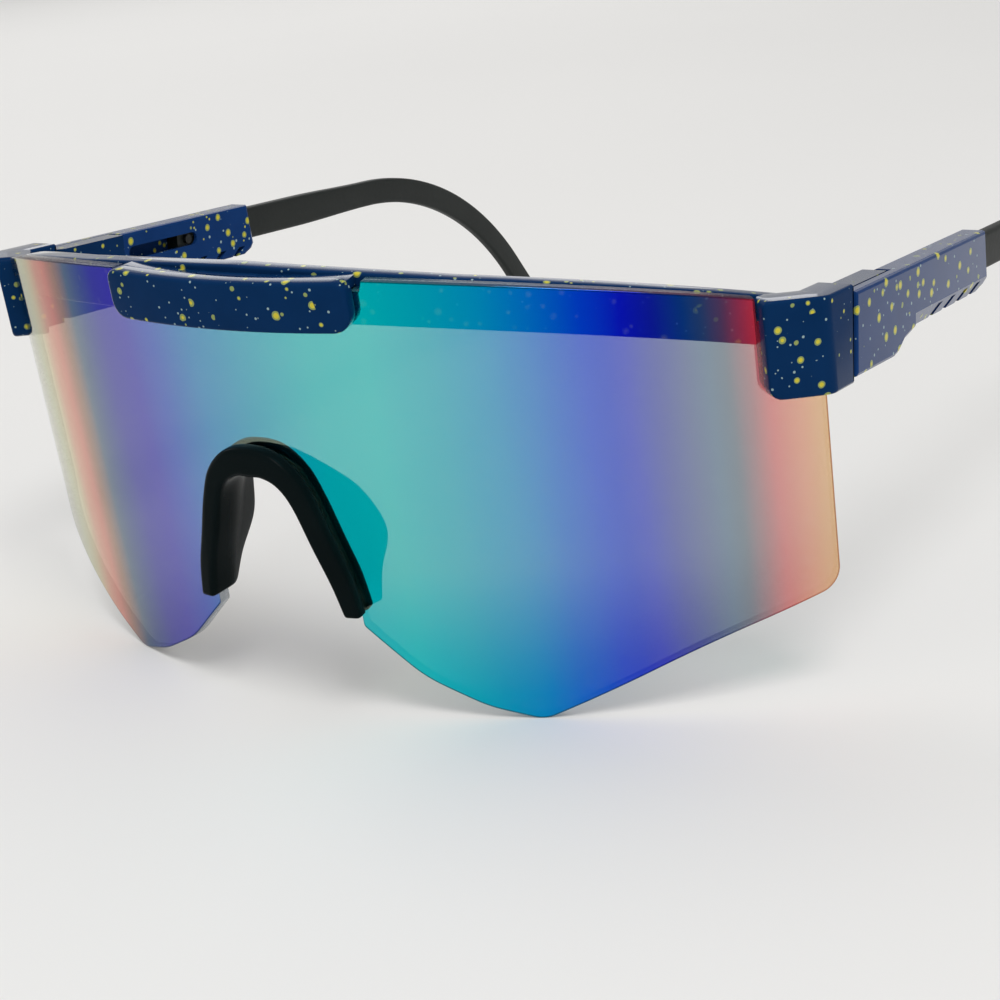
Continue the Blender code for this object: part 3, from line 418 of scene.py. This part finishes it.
# Shield lens: one sheet of clear polycarbonate 1.8 mm thick, bent to a single curve and cut out
# for the nose. A vacuum-laid coating mirrors it in upright bands of colour and lets a soft tint
# through. It ends in a thin dark line along the polished edge.
LENS_HALF, LENS_COLUMNS, LENS_ROWS = 0.0786, 132, 44
LENS_CLIP_ARC, LENS_CLIP_TOP = 0.0700, 0.05233
LENS_STEP_ARC, LENS_STEP_TOP, STEP_SIDE = 0.0204, 0.0621, 1e-5
RIMS, RIM_BAND = np.array([0, 0.0002, 0.0004, 0.0007]), 0.0012
# Lower outline from the outer corner to the nose: arc, height and radius of each corner
LOWER_CORNERS = [(0.0786, 0.0523, 0), (0.0786, 0.01345, 0.0035), (0.05950, 0.00885, 0.110),
                 (0.03660, -0.00018, 0.0045), (0.02900, 0.00205, 0.020), (0.02051, 0.00650, 0.020),
                 (0.01260, 0.01390, 0.0010), (0.01252, 0.01770, 0)]
# Seat of the nose bridge from its foot up to the crown
SEAT = [(0.01252, 0.01770), (0.01139, 0.02152), (0.00982, 0.02664), (0.00796, 0.03257),
        (0.00608, 0.03638), (0.00314, 0.03823), (0.0, 0.03894)]


def rounded_line(corners, steps):
    """Points along a line of straight runs whose corners are arcs tangent to both runs."""
    line = []
    for index, (x, z, radius) in enumerate(corners):
        here = np.array([x, z])
        if radius == 0:
            line.append(here[None])
            continue
        back = np.array(corners[index - 1][:2]) - here
        ahead = np.array(corners[index + 1][:2]) - here
        back, ahead = back / np.linalg.norm(back), ahead / np.linalg.norm(ahead)
        half = math.acos(np.clip(back @ ahead, -1, 1)) / 2
        middle = back + ahead
        centre = here + middle / np.linalg.norm(middle) * radius / math.sin(half)
        start = here + back * radius / math.tan(half) - centre
        end = here + ahead * radius / math.tan(half) - centre
        swing = math.pi - 2 * half
        share = np.linspace(0, 1, steps)[:, None]
        bow = start * np.sin((1 - share) * swing) + end * np.sin(share * swing)
        line.append(centre + bow / math.sin(swing))
    return np.concatenate(line)


lower = np.concatenate([rounded_line(LOWER_CORNERS, 10), np.array(SEAT[1:])])[::-1]


def lens_low(arc):
    """Height of the lens's lower edge at an arc, read off the outline.

    Points one above the other are set apart by a hair, so that their arcs rise.
    """
    hair = np.arange(len(lower)) * 1e-9
    return np.interp(np.abs(arc), lower[:, 0] + hair, lower[:, 1])


def lens_top(arc):
    """Height of the lens's upper edge: the brow line, stepped down under the web and the clips."""
    height = np.where(np.abs(arc) < LENS_STEP_ARC, LENS_STEP_TOP, brow(arc))
    return np.where(np.abs(arc) > LENS_CLIP_ARC, LENS_CLIP_TOP, height)


def lens_stations():
    """Arcs of the columns: even ones, the outline's corners, and two beside each step."""
    steps = np.array([LENS_STEP_ARC, LENS_CLIP_ARC]).repeat(2) + np.tile([-STEP_SIDE, STEP_SIDE], 2)
    half = np.concatenate([np.linspace(0, LENS_HALF, LENS_COLUMNS), lower[:, 0], steps])
    half = np.unique(np.round(half, 6))
    half = half[np.concatenate([[True], np.diff(half) > 1.5 * STEP_SIDE])]
    return np.concatenate([-half[:0:-1], half])


def lens_mesh():
    """Grid on the lens front: columns at the stations, rows from the lower to the upper edge.

    Rows lie at fixed rims near both edges and at even shares between them, so the dark rim keeps
    its width. The sheet's UV is the arc and the height, and an attribute holds the distance in
    from the edge in millimetres.
    """
    arcs = lens_stations()
    low, high = lens_low(arcs), lens_top(arcs)
    share = np.linspace(0, 1, LENS_ROWS)
    middle = (low + RIM_BAND) + (high - low - 2 * RIM_BAND) * share[:, None]
    heights = np.concatenate([low + RIMS[:, None], middle, high - RIMS[::-1, None]])
    rows, count = heights.shape
    arc_grid = np.repeat(arcs[None], rows, 0)
    points = on_curve(arc_grid, np.zeros_like(heights), heights).reshape(-1, 3)
    row, column = np.meshgrid(np.arange(rows - 1), np.arange(count - 1), indexing="ij")
    faces = np.stack([row * count + column, row * count + column + 1,
                      (row + 1) * count + column + 1, (row + 1) * count + column], -1).reshape(-1, 4)
    mesh = bpy.data.meshes.new("lens_sheet")
    mesh.from_pydata(points.tolist(), [], faces.tolist())
    slope = np.hypot(1, np.gradient(low, arcs))
    edge = np.minimum.reduce([(heights - low) / slope, high - heights, LENS_HALF - np.abs(arc_grid)])
    uv = np.stack([arc_grid.ravel() / (2 * LENS_HALF) + 0.5, heights.ravel() / LENS_TALL], 1)
    layer = mesh.uv_layers.new(name="arc_and_height")
    layer.data.foreach_set("uv", uv[faces.ravel()].ravel().astype(np.float32))
    rim = mesh.attributes.new("from_edge", "FLOAT", "POINT")
    rim.data.foreach_set("value", (edge.ravel() * 1000).astype(np.float32))
    mesh.shade_smooth()
    return mesh


# Colours of the mirror from the right end to the left end, each at an arc in millimetres
MIRROR_BANDS = [
    (-78, (236, 228, 208)), (-62, (226, 222, 186)), (-55, (212, 214, 166)), (-51, (212, 192, 146)),
    (-47, (222, 146, 122)), (-43, (218, 122, 110)), (-39, (158, 114, 104)), (-35, (62, 98, 138)),
    (-31, (34, 70, 156)), (-27, (38, 40, 178)), (-21, (54, 46, 190)), (-15, (46, 86, 200)),
    (-7, (20, 138, 202)), (2, (6, 166, 200)), (11, (0, 192, 202)), (20, (0, 198, 204)),
    (28, (0, 178, 203)), (36, (0, 154, 210)), (42, (0, 116, 217)), (48, (0, 66, 220)),
    (53, (10, 20, 208)), (57, (14, 26, 174)), (61, (8, 62, 144)), (63.5, (44, 72, 126)),
    (66, (100, 64, 104)), (68.5, (180, 54, 86)), (71, (242, 54, 66)), (75, (255, 132, 82)),
    (77, (255, 156, 78)), (79, (255, 170, 76))]
# Colours of the dark line round the edge, at shares of the arc from the right end
RIM_BANDS = [(0.0, (60, 56, 40)), (0.16, (60, 40, 40)), (0.3, (14, 20, 60)), (0.5, (0, 66, 74)),
             (0.72, (0, 84, 92)), (0.84, (6, 18, 84)), (0.90, (6, 40, 84)), (0.95, (130, 26, 40)),
             (0.985, (160, 92, 52))]
CLEAR_SHEET = (0.93, 0.95, 0.95, 1)


def sheet_axes(finish):
    """The sheet's UV: the share of the arc from its right end, and the share of its height."""
    uv = finish.node("ShaderNodeUVMap", {"uv_map": "arc_and_height"})[0]
    return finish.node("ShaderNodeSeparateXYZ", None, {"Vector": uv})


def lens_coating():
    """Bands of mirror colour along the arc over a tinted clear sheet, with a dark edge.

    The mirror covers 0.76 of the sheet. It is thinner by 0.16 towards both ends, and thicker by
    0.21 low on the left half, a painted shade that darkens and deepens the colour towards the
    lower edge in place of the shaded floor seen through it, and by 0.3 along the rim, up to 0.97
    in all. Each zone is a clamped straight line of the arc's or the height's share.
    """
    finish = Finish("mirror_coating")
    axes = sheet_axes(finish)
    drift = finish.noise(finish.place((90, 90, 18)), 1.0)
    along, height = axes[0] + (drift - 0.5) * 0.018, axes[1]
    span = 2000 * LENS_HALF
    bands = finish.ramp(along, [(place / span + 0.5, rgb(*colour)) for place, colour in MIRROR_BANDS])
    rim_tone = finish.ramp(along, [(place, rgb(*colour)) for place, colour in RIM_BANDS])
    rim = finish.node("ShaderNodeAttribute", {"attribute_name": "from_edge"})[2].within(0.26, 0.14)
    mirror = finish.node("ShaderNodeBsdfPrincipled", None, {
        "Base Color": finish.mix(rim * 0.8, bands, rim_tone), "Metallic": 1.0, "Roughness": 0.05})[0]
    right_half = along.within(0.50, 0.12)
    right_end = along.within(0.18, 0.06)
    left_end = 1 - along.within(0.935, 0.05)
    left_side = ((along - 0.74) * 6).kept(0, 1)
    left_zone = ((along - 0.82) * 12).kept(0, 1)
    both_ends = (left_zone + right_end).math("MINIMUM", 1)
    tint = finish.tint((0.80, 0.94, 0.72, 1))
    for zone, colour in ((right_half, (0.80, 0.80, 0.64, 1)), (both_ends, CLEAR_SHEET),
                         (left_end, (0.60, 0.98, 0.92, 1))):
        tint = finish.blend(zone, tint, finish.tint(colour))
    # Painted shade: extra mirror low on the left half darkens and deepens the sheet towards its lower edge,
    # standing in for the shaded floor seen through it.
    painted_low_shade = height.within(0.36, 0.30) * (1 - right_half) * (1 - left_side * 0.8)
    cover = (0.76 - both_ends * 0.16 + painted_low_shade * 0.21 + rim * 0.3).math("MINIMUM", 0.97)
    return finish.close(finish.blend(cover, tint, mirror))


def lens_inside():
    """Clear inner face: it lets most light through and adds a faint smoky gloss."""
    finish = Finish("lens_inside")
    haze = finish.noise(finish.place(), 60.0)
    smoke = finish.mix(haze, [*rgb(44, 46, 48), 1], [*rgb(54, 54, 52), 1])
    gloss = finish.node("ShaderNodeBsdfPrincipled", None, {
        "Base Color": smoke, "Roughness": 0.06, "IOR": 1.58})[0]
    return finish.close(finish.blend(0.12, finish.tint((0.97, 0.98, 0.98, 1)), gloss))


def lens_edge():
    """Polished edge of the sheet: half clear, clear-coated, and tinted like the coating beside it."""
    finish = Finish("lens_edge")
    along = sheet_axes(finish)[0]
    tone = finish.ramp(along, [(0.0, rgb(150, 146, 120)), (0.2, rgb(110, 80, 76)), (0.35, rgb(40, 52, 96)),
                               (0.6, rgb(60, 120, 126)), (0.8, rgb(52, 70, 120)), (0.93, rgb(130, 60, 60)),
                               (0.985, rgb(230, 182, 146))])
    grain = finish.noise(finish.place(), 1500.0)
    polish = finish.node("ShaderNodeBsdfPrincipled", None, {
        "Base Color": tone, "Roughness": 0.22 + grain * 0.1, "IOR": 1.58, "Coat Weight": 0.4})[0]
    cover = 0.20 + along.within(0.935, 0.05) * 0.35
    return finish.close(finish.blend(cover, finish.tint(CLEAR_SHEET), polish))


lens_shape = lens_mesh()
lens_shape.materials.append(lens_coating())
lens_shape.materials.append(lens_edge())
lens_shape.materials.append(lens_inside())
lens = bpy.data.objects.new("lens_sheet", lens_shape)
bpy.context.scene.collection.objects.link(lens)
thick = lens.modifiers.new("sheet", "SOLIDIFY")
thick.thickness = LENS_DEEP
thick.offset = -1
thick.material_offset = 2
thick.material_offset_rim = 1
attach(lens, "front")
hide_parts("shield_lens")


# Nose bridge: a soft black rubber arch pushed over the lens's cut-out. Its smooth lip shows in
# front, a groove grips the sheet, and two satin pads flare back to rest on the nose.
NOSE_HALF, NOSE_FOOT, NOSE_TALL, NOSE_DEEP = 0.0136, 0.0160, 0.0253, 0.0101
LIP, BACK_LIP, PAD_THICK, LENS_BACK = 0.0025, 0.0012, 0.0017, LENS_DEEP + AIR
LIP_EDGE, LIP_SIDE, LIP_REAR, GROOVE_SEAT, PAD_START = 0.0003, 0.0008, 0.0002, 0.44, -0.0905
# From the foot to the crown: lip's inner edge, its outer edge, and the pad's rear, in shares
NOSE_STATIONS = np.array([
    (0.812, 0.010, 0.992, 0.012, 0.882, 0.470, 0.000), (0.721, 0.198, 0.925, 0.215, 0.850, 0.660, 0.150),
    (0.581, 0.415, 0.810, 0.410, 0.809, 1.000, 0.330), (0.441, 0.644, 0.675, 0.640, 0.650, 0.880, 0.575),
    (0.309, 0.751, 0.530, 0.815, 0.430, 0.600, 0.735), (0.147, 0.794, 0.290, 0.935, 0.200, 0.430, 0.820),
    (0.000, 0.794, 0.000, 0.965, 0.000, 0.390, 0.835)])
FLIP = np.array([-1, 1, -1, 1, -1, 1, 1])


def smooth_through(rows, steps):
    """Catmull-Rom curve through rows: each span is a cubic of its four nearest rows."""
    before = 2 * rows[:1] - rows[1:2]
    after = 2 * rows[-1:] - rows[-2:-1]
    rail = np.concatenate([before, rows, after])
    t = np.linspace(0, 1, steps, endpoint=False)[:, None]
    spans = [b + t * (c - a + t * (2 * a - 5 * b + 4 * c - d + t * (3 * (b - c) + d - a))) / 2
             for a, b, c, d in zip(rail, rail[1:], rail[2:], rail[3:])]
    return np.concatenate(spans + [rows[-1:]])


def nose_grid():
    """Sections of the bridge from one foot over the crown to the other.

    Each section is a closed line of 22 points: lip, inner wall, pad, back lip, groove and front
    face. Points are doubled close to the lip's edges, which keeps them crisp when smoothed.
    """
    both = np.concatenate([NOSE_STATIONS, NOSE_STATIONS[-2::-1] * FLIP])
    inner_x, inner_z, outer_x, outer_z, rear_x, rear_y, rear_z = smooth_through(both, 5).T
    inner_x, outer_x, rear_x = (NOSE_HALF * value for value in (inner_x, outer_x, rear_x))
    inner_z, outer_z, rear_z = (NOSE_FOOT + NOSE_TALL * value for value in (inner_z, outer_z, rear_z))

    def at(share, depth):
        """Points a share of the way from the lip's inner edge to its outer edge."""
        across, up = share * (outer_x - inner_x), share * (outer_z - inner_z)
        return on_curve(inner_x + across, depth, inner_z + up)

    rear = stand(rear_x, NOSE_DEEP * rear_y, rear_z)
    outward = at(1, 0) - at(0, 0)
    outward *= PAD_THICK / np.linalg.norm(outward, axis=1, keepdims=True)
    root = at(0, LENS_BACK)
    ring = [at(0.30, -LIP), at(0.13, -LIP), at(0.02, LIP_EDGE - LIP), at(0, LIP_SIDE - LIP), at(0, 0),
            root, root + (rear - root) * 0.5, root + (rear - root) * 0.94, rear, rear + outward * 0.5,
            rear + outward, at(0.62, LENS_BACK + BACK_LIP), at(0.78, LENS_BACK + BACK_LIP / 2),
            at(0.78, LENS_BACK), at(GROOVE_SEAT, LENS_BACK), at(GROOVE_SEAT, -AIR), at(0.97, -AIR),
            at(1, -AIR - LIP_REAR), at(1, LIP_SIDE - LIP), at(0.98, LIP_EDGE - LIP), at(0.87, -LIP),
            at(0.70, -LIP)]
    return np.stack(ring, 1)


def tube(grid):
    """Points, side faces and end faces of a closed tube of sections.

    Each end is drawn in flat to 0.93 and 0.5 of its width, and then to its middle point.
    """
    first, last = grid[0].mean(0), grid[-1].mean(0)
    drawn_in = np.array([0.93, 0.5])[:, None, None]
    start_rows = (first + (grid[0] - first) * drawn_in)[::-1]
    grid = np.concatenate([start_rows, grid, last + (grid[-1] - last) * drawn_in])
    rows, count = grid.shape[:2]
    row, column = np.meshgrid(np.arange(rows - 1), np.arange(count), indexing="ij")
    after = (column + 1) % count
    faces = np.stack([row * count + column, row * count + after,
                      (row + 1) * count + after, (row + 1) * count + column], -1).reshape(-1, 4)
    tips = np.stack([grid[0].mean(0), grid[-1].mean(0)])
    step = np.arange(count)
    centre, last_row = np.full(count, rows * count), (rows - 1) * count
    start = np.stack([centre, (step + 1) % count, step], 1)
    end = np.stack([centre + 1, last_row + step, last_row + (step + 1) % count], 1)
    points = np.concatenate([grid.reshape(-1, 3), tips])
    return points, faces, np.concatenate([start, end])


def tube_piece(name, grid, finish, levels):
    """Object of a tube with its ends closed by triangles, smoothed by subdivision."""
    points, sides, caps = tube(grid)
    faces = facing_out(points, sides)
    if faces is not sides:
        caps = caps[:, ::-1]
    mesh = bpy.data.meshes.new(name)
    mesh.from_pydata(points.tolist(), [], faces.tolist() + caps.tolist())
    mesh.shade_smooth()
    mesh.materials.append(finish)
    piece = bpy.data.objects.new(name, mesh)
    bpy.context.scene.collection.objects.link(piece)
    if levels:
        soft = piece.modifiers.new("soft", "SUBSURF")
        soft.levels = levels
        soft.render_levels = levels
    return piece


def black_rubber():
    """Black rubber with a fine moulded grain: smooth on the front lip, satin on the pads behind.

    Satin rises from 0 to 1 over the 2 mm behind PAD_START. The gloss coat's weight is
    3 * (1 - cos of the angle to the eye - 0.4), kept from 0 to 0.06, times 1 - 0.6 * satin.
    """
    finish = Finish("black_rubber")
    where = finish.place()
    grain = finish.noise(where, 1400.0, 3.0)
    cloud = finish.noise(where, 120.0, 3.0)
    tone = finish.mix(cloud, [*rgb(7, 14, 15), 1], [*rgb(13, 22, 23), 1])
    back = finish.node("ShaderNodeSeparateXYZ", None, {"Vector": where})[1]
    satin = ((back - PAD_START) * 500).kept(0, 1)
    slant = finish.node("ShaderNodeLayerWeight", None, {"Blend": 0.5})[1]
    coat = ((slant - 0.40) * 3).kept(0, 0.06) * (1 - satin * 0.6)
    shader = finish.node("ShaderNodeBsdfPrincipled", None, {
        "Base Color": tone, "Roughness": 0.16 + satin * 0.28 + cloud * 0.06, "Specular IOR Level": 0.02,
        "Coat Weight": coat, "Coat Roughness": 0.06,
        "Normal": finish.bump(grain, 0.00002, 0.35)})[0]
    return finish.close(shader)


nose = tube_piece("nose_arch", nose_grid(), black_rubber(), 1)
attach(nose, "front")
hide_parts("nose_bridge")


# Hinges: a lacquered knuckle at each end turns on a steel screw put in from below, round the brow
# frame's tongue. A riveted steel pin and a black nylon washer hold the sleeve to it.
def black_nylon(name, light, dark, gloss):
    """Moulded nylon: near-black mottle, a fine grain and a satin surface."""
    finish = Finish(name)
    where = finish.place()
    grain = finish.noise(where, 1100.0, 4.0)
    cloud = finish.noise(where, 90.0, 4.0)
    tone = finish.mix(cloud, [*rgb(*dark), 1], [*rgb(*light), 1])
    shader = finish.node("ShaderNodeBsdfPrincipled", None, {
        "Base Color": tone, "Roughness": gloss + grain * 0.10, "Specular IOR Level": 0.2,
        "Normal": finish.bump(grain, 0.00004, 0.5)})[0]
    return finish.close(shader)


def bright_steel():
    """Turned steel: grey metal with a fine mottle of brighter and duller spots."""
    finish = Finish("turned_steel")
    mottle = finish.noise(finish.place(), 2200.0, 3.0)
    tone = finish.mix(mottle, [*rgb(150, 152, 156), 1], [*rgb(198, 200, 204), 1])
    shader = finish.node("ShaderNodeBsdfPrincipled", None, {
        "Base Color": tone, "Metallic": 1.0, "Roughness": 0.22 + mottle * 0.2})[0]
    return finish.close(shader)


def dress(node, finish):
    """Gives a CAD node's slots a finish."""
    for slot in frame["nodes"][node].material_slots:
        slot.material = finish


hinge_nylon = black_nylon("hinge_nylon", (30, 32, 34), (16, 17, 19), 0.38)
steel = bright_steel()
for side in ("left", "right"):
    dress(f"{side}_hinge_knuckle", brow_paint)
    dress(f"{side}_friction_washer", hinge_nylon)
    dress(f"{side}_fold_screw", steel)
    dress(f"{side}_tilt_rivet", steel)
    dress(f"{side}_click_stud", hinge_nylon)


# Temple sleeves: painted nylon boxes beside the hinge. The arm slides inside, its stud clicks along
# the slot on the inner side, and four slanted grooves under the rear end give the fingers a grip.
sleeve_paint = speckled("sleeve_lacquer", (22, 60, 116), (14, 48, 98), 0.00066, 0.00028, 2.1, 0.57)
for side in ("left", "right"):
    dress(f"{side}_temple_sleeve", sleeve_paint)


# Temple arms: flat bars of matt black nylon that slide in the sleeves. Each runs straight back,
# bends down over the ear on one long curve, and ends in a rounded tip.
ARM_X, ARM_RISE, ARM_TALL, ARM_WIDE, ARM_CORNER = 0.0695, -0.0036, 0.0057, 0.0023, 0.0007
ARM_FRONT, TANG_MIDDLE, TAPER_START, TAPER_END, REAR_SHARE = 0.0310, 0.0450, 0.0665, 0.0890, 0.86
BEND_Y, BEND_RADIUS, BEND_TURN = 0.0900, 0.0735, math.radians(47)
EAR_END, TIP, TIP_TURN, TANG_EDGE = 0.02104, 0.0030, math.radians(84), 0.0004


def arm_line():
    """Centre line in the temple's own frame as (y, height, heading, share of the full section).

    Behind a straight tang the section slims to REAR_SHARE by the smooth step 3 t^2 - 2 t^3. Then a
    circular bend turns down by BEND_TURN, and the tip draws in nearly as a quarter circle.
    """
    tang = np.array([ARM_FRONT, ARM_FRONT + TANG_EDGE, TANG_MIDDLE, TAPER_START - TANG_EDGE, TAPER_START])
    ease = np.linspace(0, 1, 16)[1:]
    slim = TAPER_START + (TAPER_END - TAPER_START) * ease
    turn = np.linspace(0, BEND_TURN, 49)
    tip = np.linspace(0, TIP_TURN, 9)
    run = np.concatenate([np.linspace(0, EAR_END - TIP, 9)[1:-1], EAR_END - TIP * (1 - np.sin(tip))])
    y = np.concatenate([tang, slim, BEND_Y + BEND_RADIUS * np.sin(turn)])
    z = np.concatenate([np.zeros(len(tang) + len(slim)), -BEND_RADIUS * (1 - np.cos(turn))]) + ARM_RISE
    y = np.concatenate([y, y[-1] + math.cos(BEND_TURN) * run])
    z = np.concatenate([z, z[-1] - math.sin(BEND_TURN) * run])
    heading = np.concatenate([np.zeros(len(tang) + len(slim)), turn, np.full(len(run), BEND_TURN)])
    rear = REAR_SHARE * np.concatenate([np.ones(len(turn) + len(run) - len(tip)), np.cos(tip)])
    share = np.concatenate([np.ones(len(tang)), 1 - (1 - REAR_SHARE) * ease ** 2 * (3 - 2 * ease), rear])
    return y, z, heading, share


def arm_grid(side):
    """Rounded rectangle carried along the arm's line, square to its heading."""
    y, z, heading, share = arm_line()
    quarter = np.linspace(0, math.pi / 2, 5)
    across, up = [], []
    for index, (sign_x, sign_z) in enumerate(((1, 1), (-1, 1), (-1, -1), (1, -1))):
        angle = quarter + index * math.pi / 2
        across.append(sign_x * (ARM_WIDE / 2 - ARM_CORNER) + ARM_CORNER * np.cos(angle))
        up.append(sign_z * (ARM_TALL / 2 - ARM_CORNER) + ARM_CORNER * np.sin(angle))
    across, up = np.concatenate(across), np.concatenate(up)
    x = side * ARM_X + share[:, None] * across
    back = y[:, None] + np.sin(heading)[:, None] * share[:, None] * up
    rise = z[:, None] + np.cos(heading)[:, None] * share[:, None] * up
    front_y = CORNER_Y + back * math.cos(DROP) + rise * math.sin(DROP)
    front_z = CORNER_Z - back * math.sin(DROP) + rise * math.cos(DROP)
    return stand(x, front_y, front_z)


arm_nylon = black_nylon("arm_nylon", (34, 38, 36), (20, 25, 24), 0.42)
for side, sign in (("left", 1), ("right", -1)):
    arm = tube_piece(f"{side}_arm_bar", arm_grid(sign), arm_nylon, 0)
    arm.data.set_sharp_from_angle(angle=math.radians(35))
    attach(arm, f"{side}_arm")
    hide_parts(f"{side}_temple_arm")


# Studio: a pale seamless floor that rolls up into a backdrop far behind, under an even white sky.
# Soft lamps stand high above the camera, high on its left, and lower behind the glasses.
FLOOR_HALF, FLOOR_BACK, ROLL, WALL_TOP, SKY_STRENGTH = 3.0, 2.2, 0.6, 2.6, 0.62


def seamless():
    """Floor and backdrop: a flat run, a quarter circle of radius ROLL, then a straight wall."""
    turn = np.linspace(0, math.pi / 2, 24)
    y = np.concatenate([[-FLOOR_HALF], FLOOR_BACK + ROLL * np.sin(turn), [FLOOR_BACK + ROLL]])
    z = np.concatenate([[0], ROLL * (1 - np.cos(turn)), [WALL_TOP]])
    x = np.array([-FLOOR_HALF, FLOOR_HALF])
    points = np.stack(np.broadcast_arrays(x[None], y[:, None], z[:, None]), -1)
    step = np.arange(len(y) - 1) * 2
    faces = np.stack([step, step + 1, step + 3, step + 2], 1)
    mesh = bpy.data.meshes.new("seamless_floor")
    mesh.from_pydata(points.reshape(-1, 3).tolist(), [], faces.tolist())
    mesh.shade_smooth()
    return mesh


def pale_paper():
    """Matt paper: a slow mottle of two near whites."""
    finish = Finish("pale_paper")
    mottle = finish.noise(finish.place(), 3.0, 3.0)
    tone = finish.mix(mottle, [*rgb(231, 230, 228), 1], [*rgb(237, 236, 234), 1])
    shader = finish.node("ShaderNodeBsdfPrincipled", None, {
        "Base Color": tone, "Roughness": 0.85, "Specular IOR Level": 0.2})[0]
    return finish.close(shader)


floor_shape = seamless()
floor_shape.materials.append(pale_paper())
floor = bpy.data.objects.new("seamless_floor", floor_shape)
bpy.context.scene.collection.objects.link(floor)
floor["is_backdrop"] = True

world = bpy.data.worlds.new("studio")
world.use_nodes = True
sky = world.node_tree.nodes["Background"]
sky.inputs["Color"].default_value = (1.0, 1.0, 1.0, 1)
sky.inputs["Strength"].default_value = SKY_STRENGTH
bpy.context.scene.world = world


def softbox(name, place, target, size, power):
    """Area lamp at a place, facing a target."""
    lamp = bpy.data.lights.new(name, "AREA")
    lamp.shape = "RECTANGLE"
    lamp.size, lamp.size_y = size
    lamp.energy = power
    holder = bpy.data.objects.new(name, lamp)
    holder.location = place
    holder.rotation_euler = (Vector(target) - Vector(place)).to_track_quat("-Z", "Y").to_euler()
    bpy.context.scene.collection.objects.link(holder)


softbox("top_box", (0.42, -0.46, 1.0), (0, 0, 0), (0.45, 0.45), 4.8)
softbox("left_box", (-0.9, 0.10, 0.8), (0, -0.02, 0.03), (0.6, 0.8), 2.2)
softbox("back_box", (-0.62, 0.91, 0.48), (0, -0.02, 0.04), (0.6, 0.5), 1.0)


# Camera: hand-held view from above the wearer's left, close to the lens. Its place and its turns
# are given in the upright front, and lean back with it.
CAMERA_PLACE = (0.17044, -0.19387, 0.13896)
YAW, PITCH, TILT = math.radians(-34.27), math.radians(23.66), math.radians(-8.47)
SENSOR, FOCAL_SHARE = 36, 2.0423


def aim_camera():
    """Pose of the camera: turned to its heading, pitch and tilt, then leaned back with the front."""
    heading = np.array([math.sin(YAW), math.cos(YAW), 0])
    ahead = heading * math.cos(PITCH) - np.array([0, 0, math.sin(PITCH)])
    level = np.array([math.cos(YAW), -math.sin(YAW), 0])
    over = np.cross(level, ahead)
    right = level * math.cos(TILT) + over * math.sin(TILT)
    up = over * math.cos(TILT) - level * math.sin(TILT)
    pose = np.eye(4)
    pose[:3, :3] = TURN @ np.stack([right, up, -ahead], 1)
    pose[:3, 3] = stand(*CAMERA_PLACE)
    return Matrix(pose.tolist())


camera_lens = bpy.data.cameras.new("camera")
camera_lens.sensor_width = SENSOR
camera_lens.lens = SENSOR * FOCAL_SHARE
camera_lens.clip_start = 0.01
camera = bpy.data.objects.new("camera", camera_lens)
camera.matrix_world = aim_camera()
bpy.context.scene.collection.objects.link(camera)
bpy.context.scene.camera = camera
bpy.context.scene.view_settings.view_transform = "Standard"

low, high = (list(map(float, corner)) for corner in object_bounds())
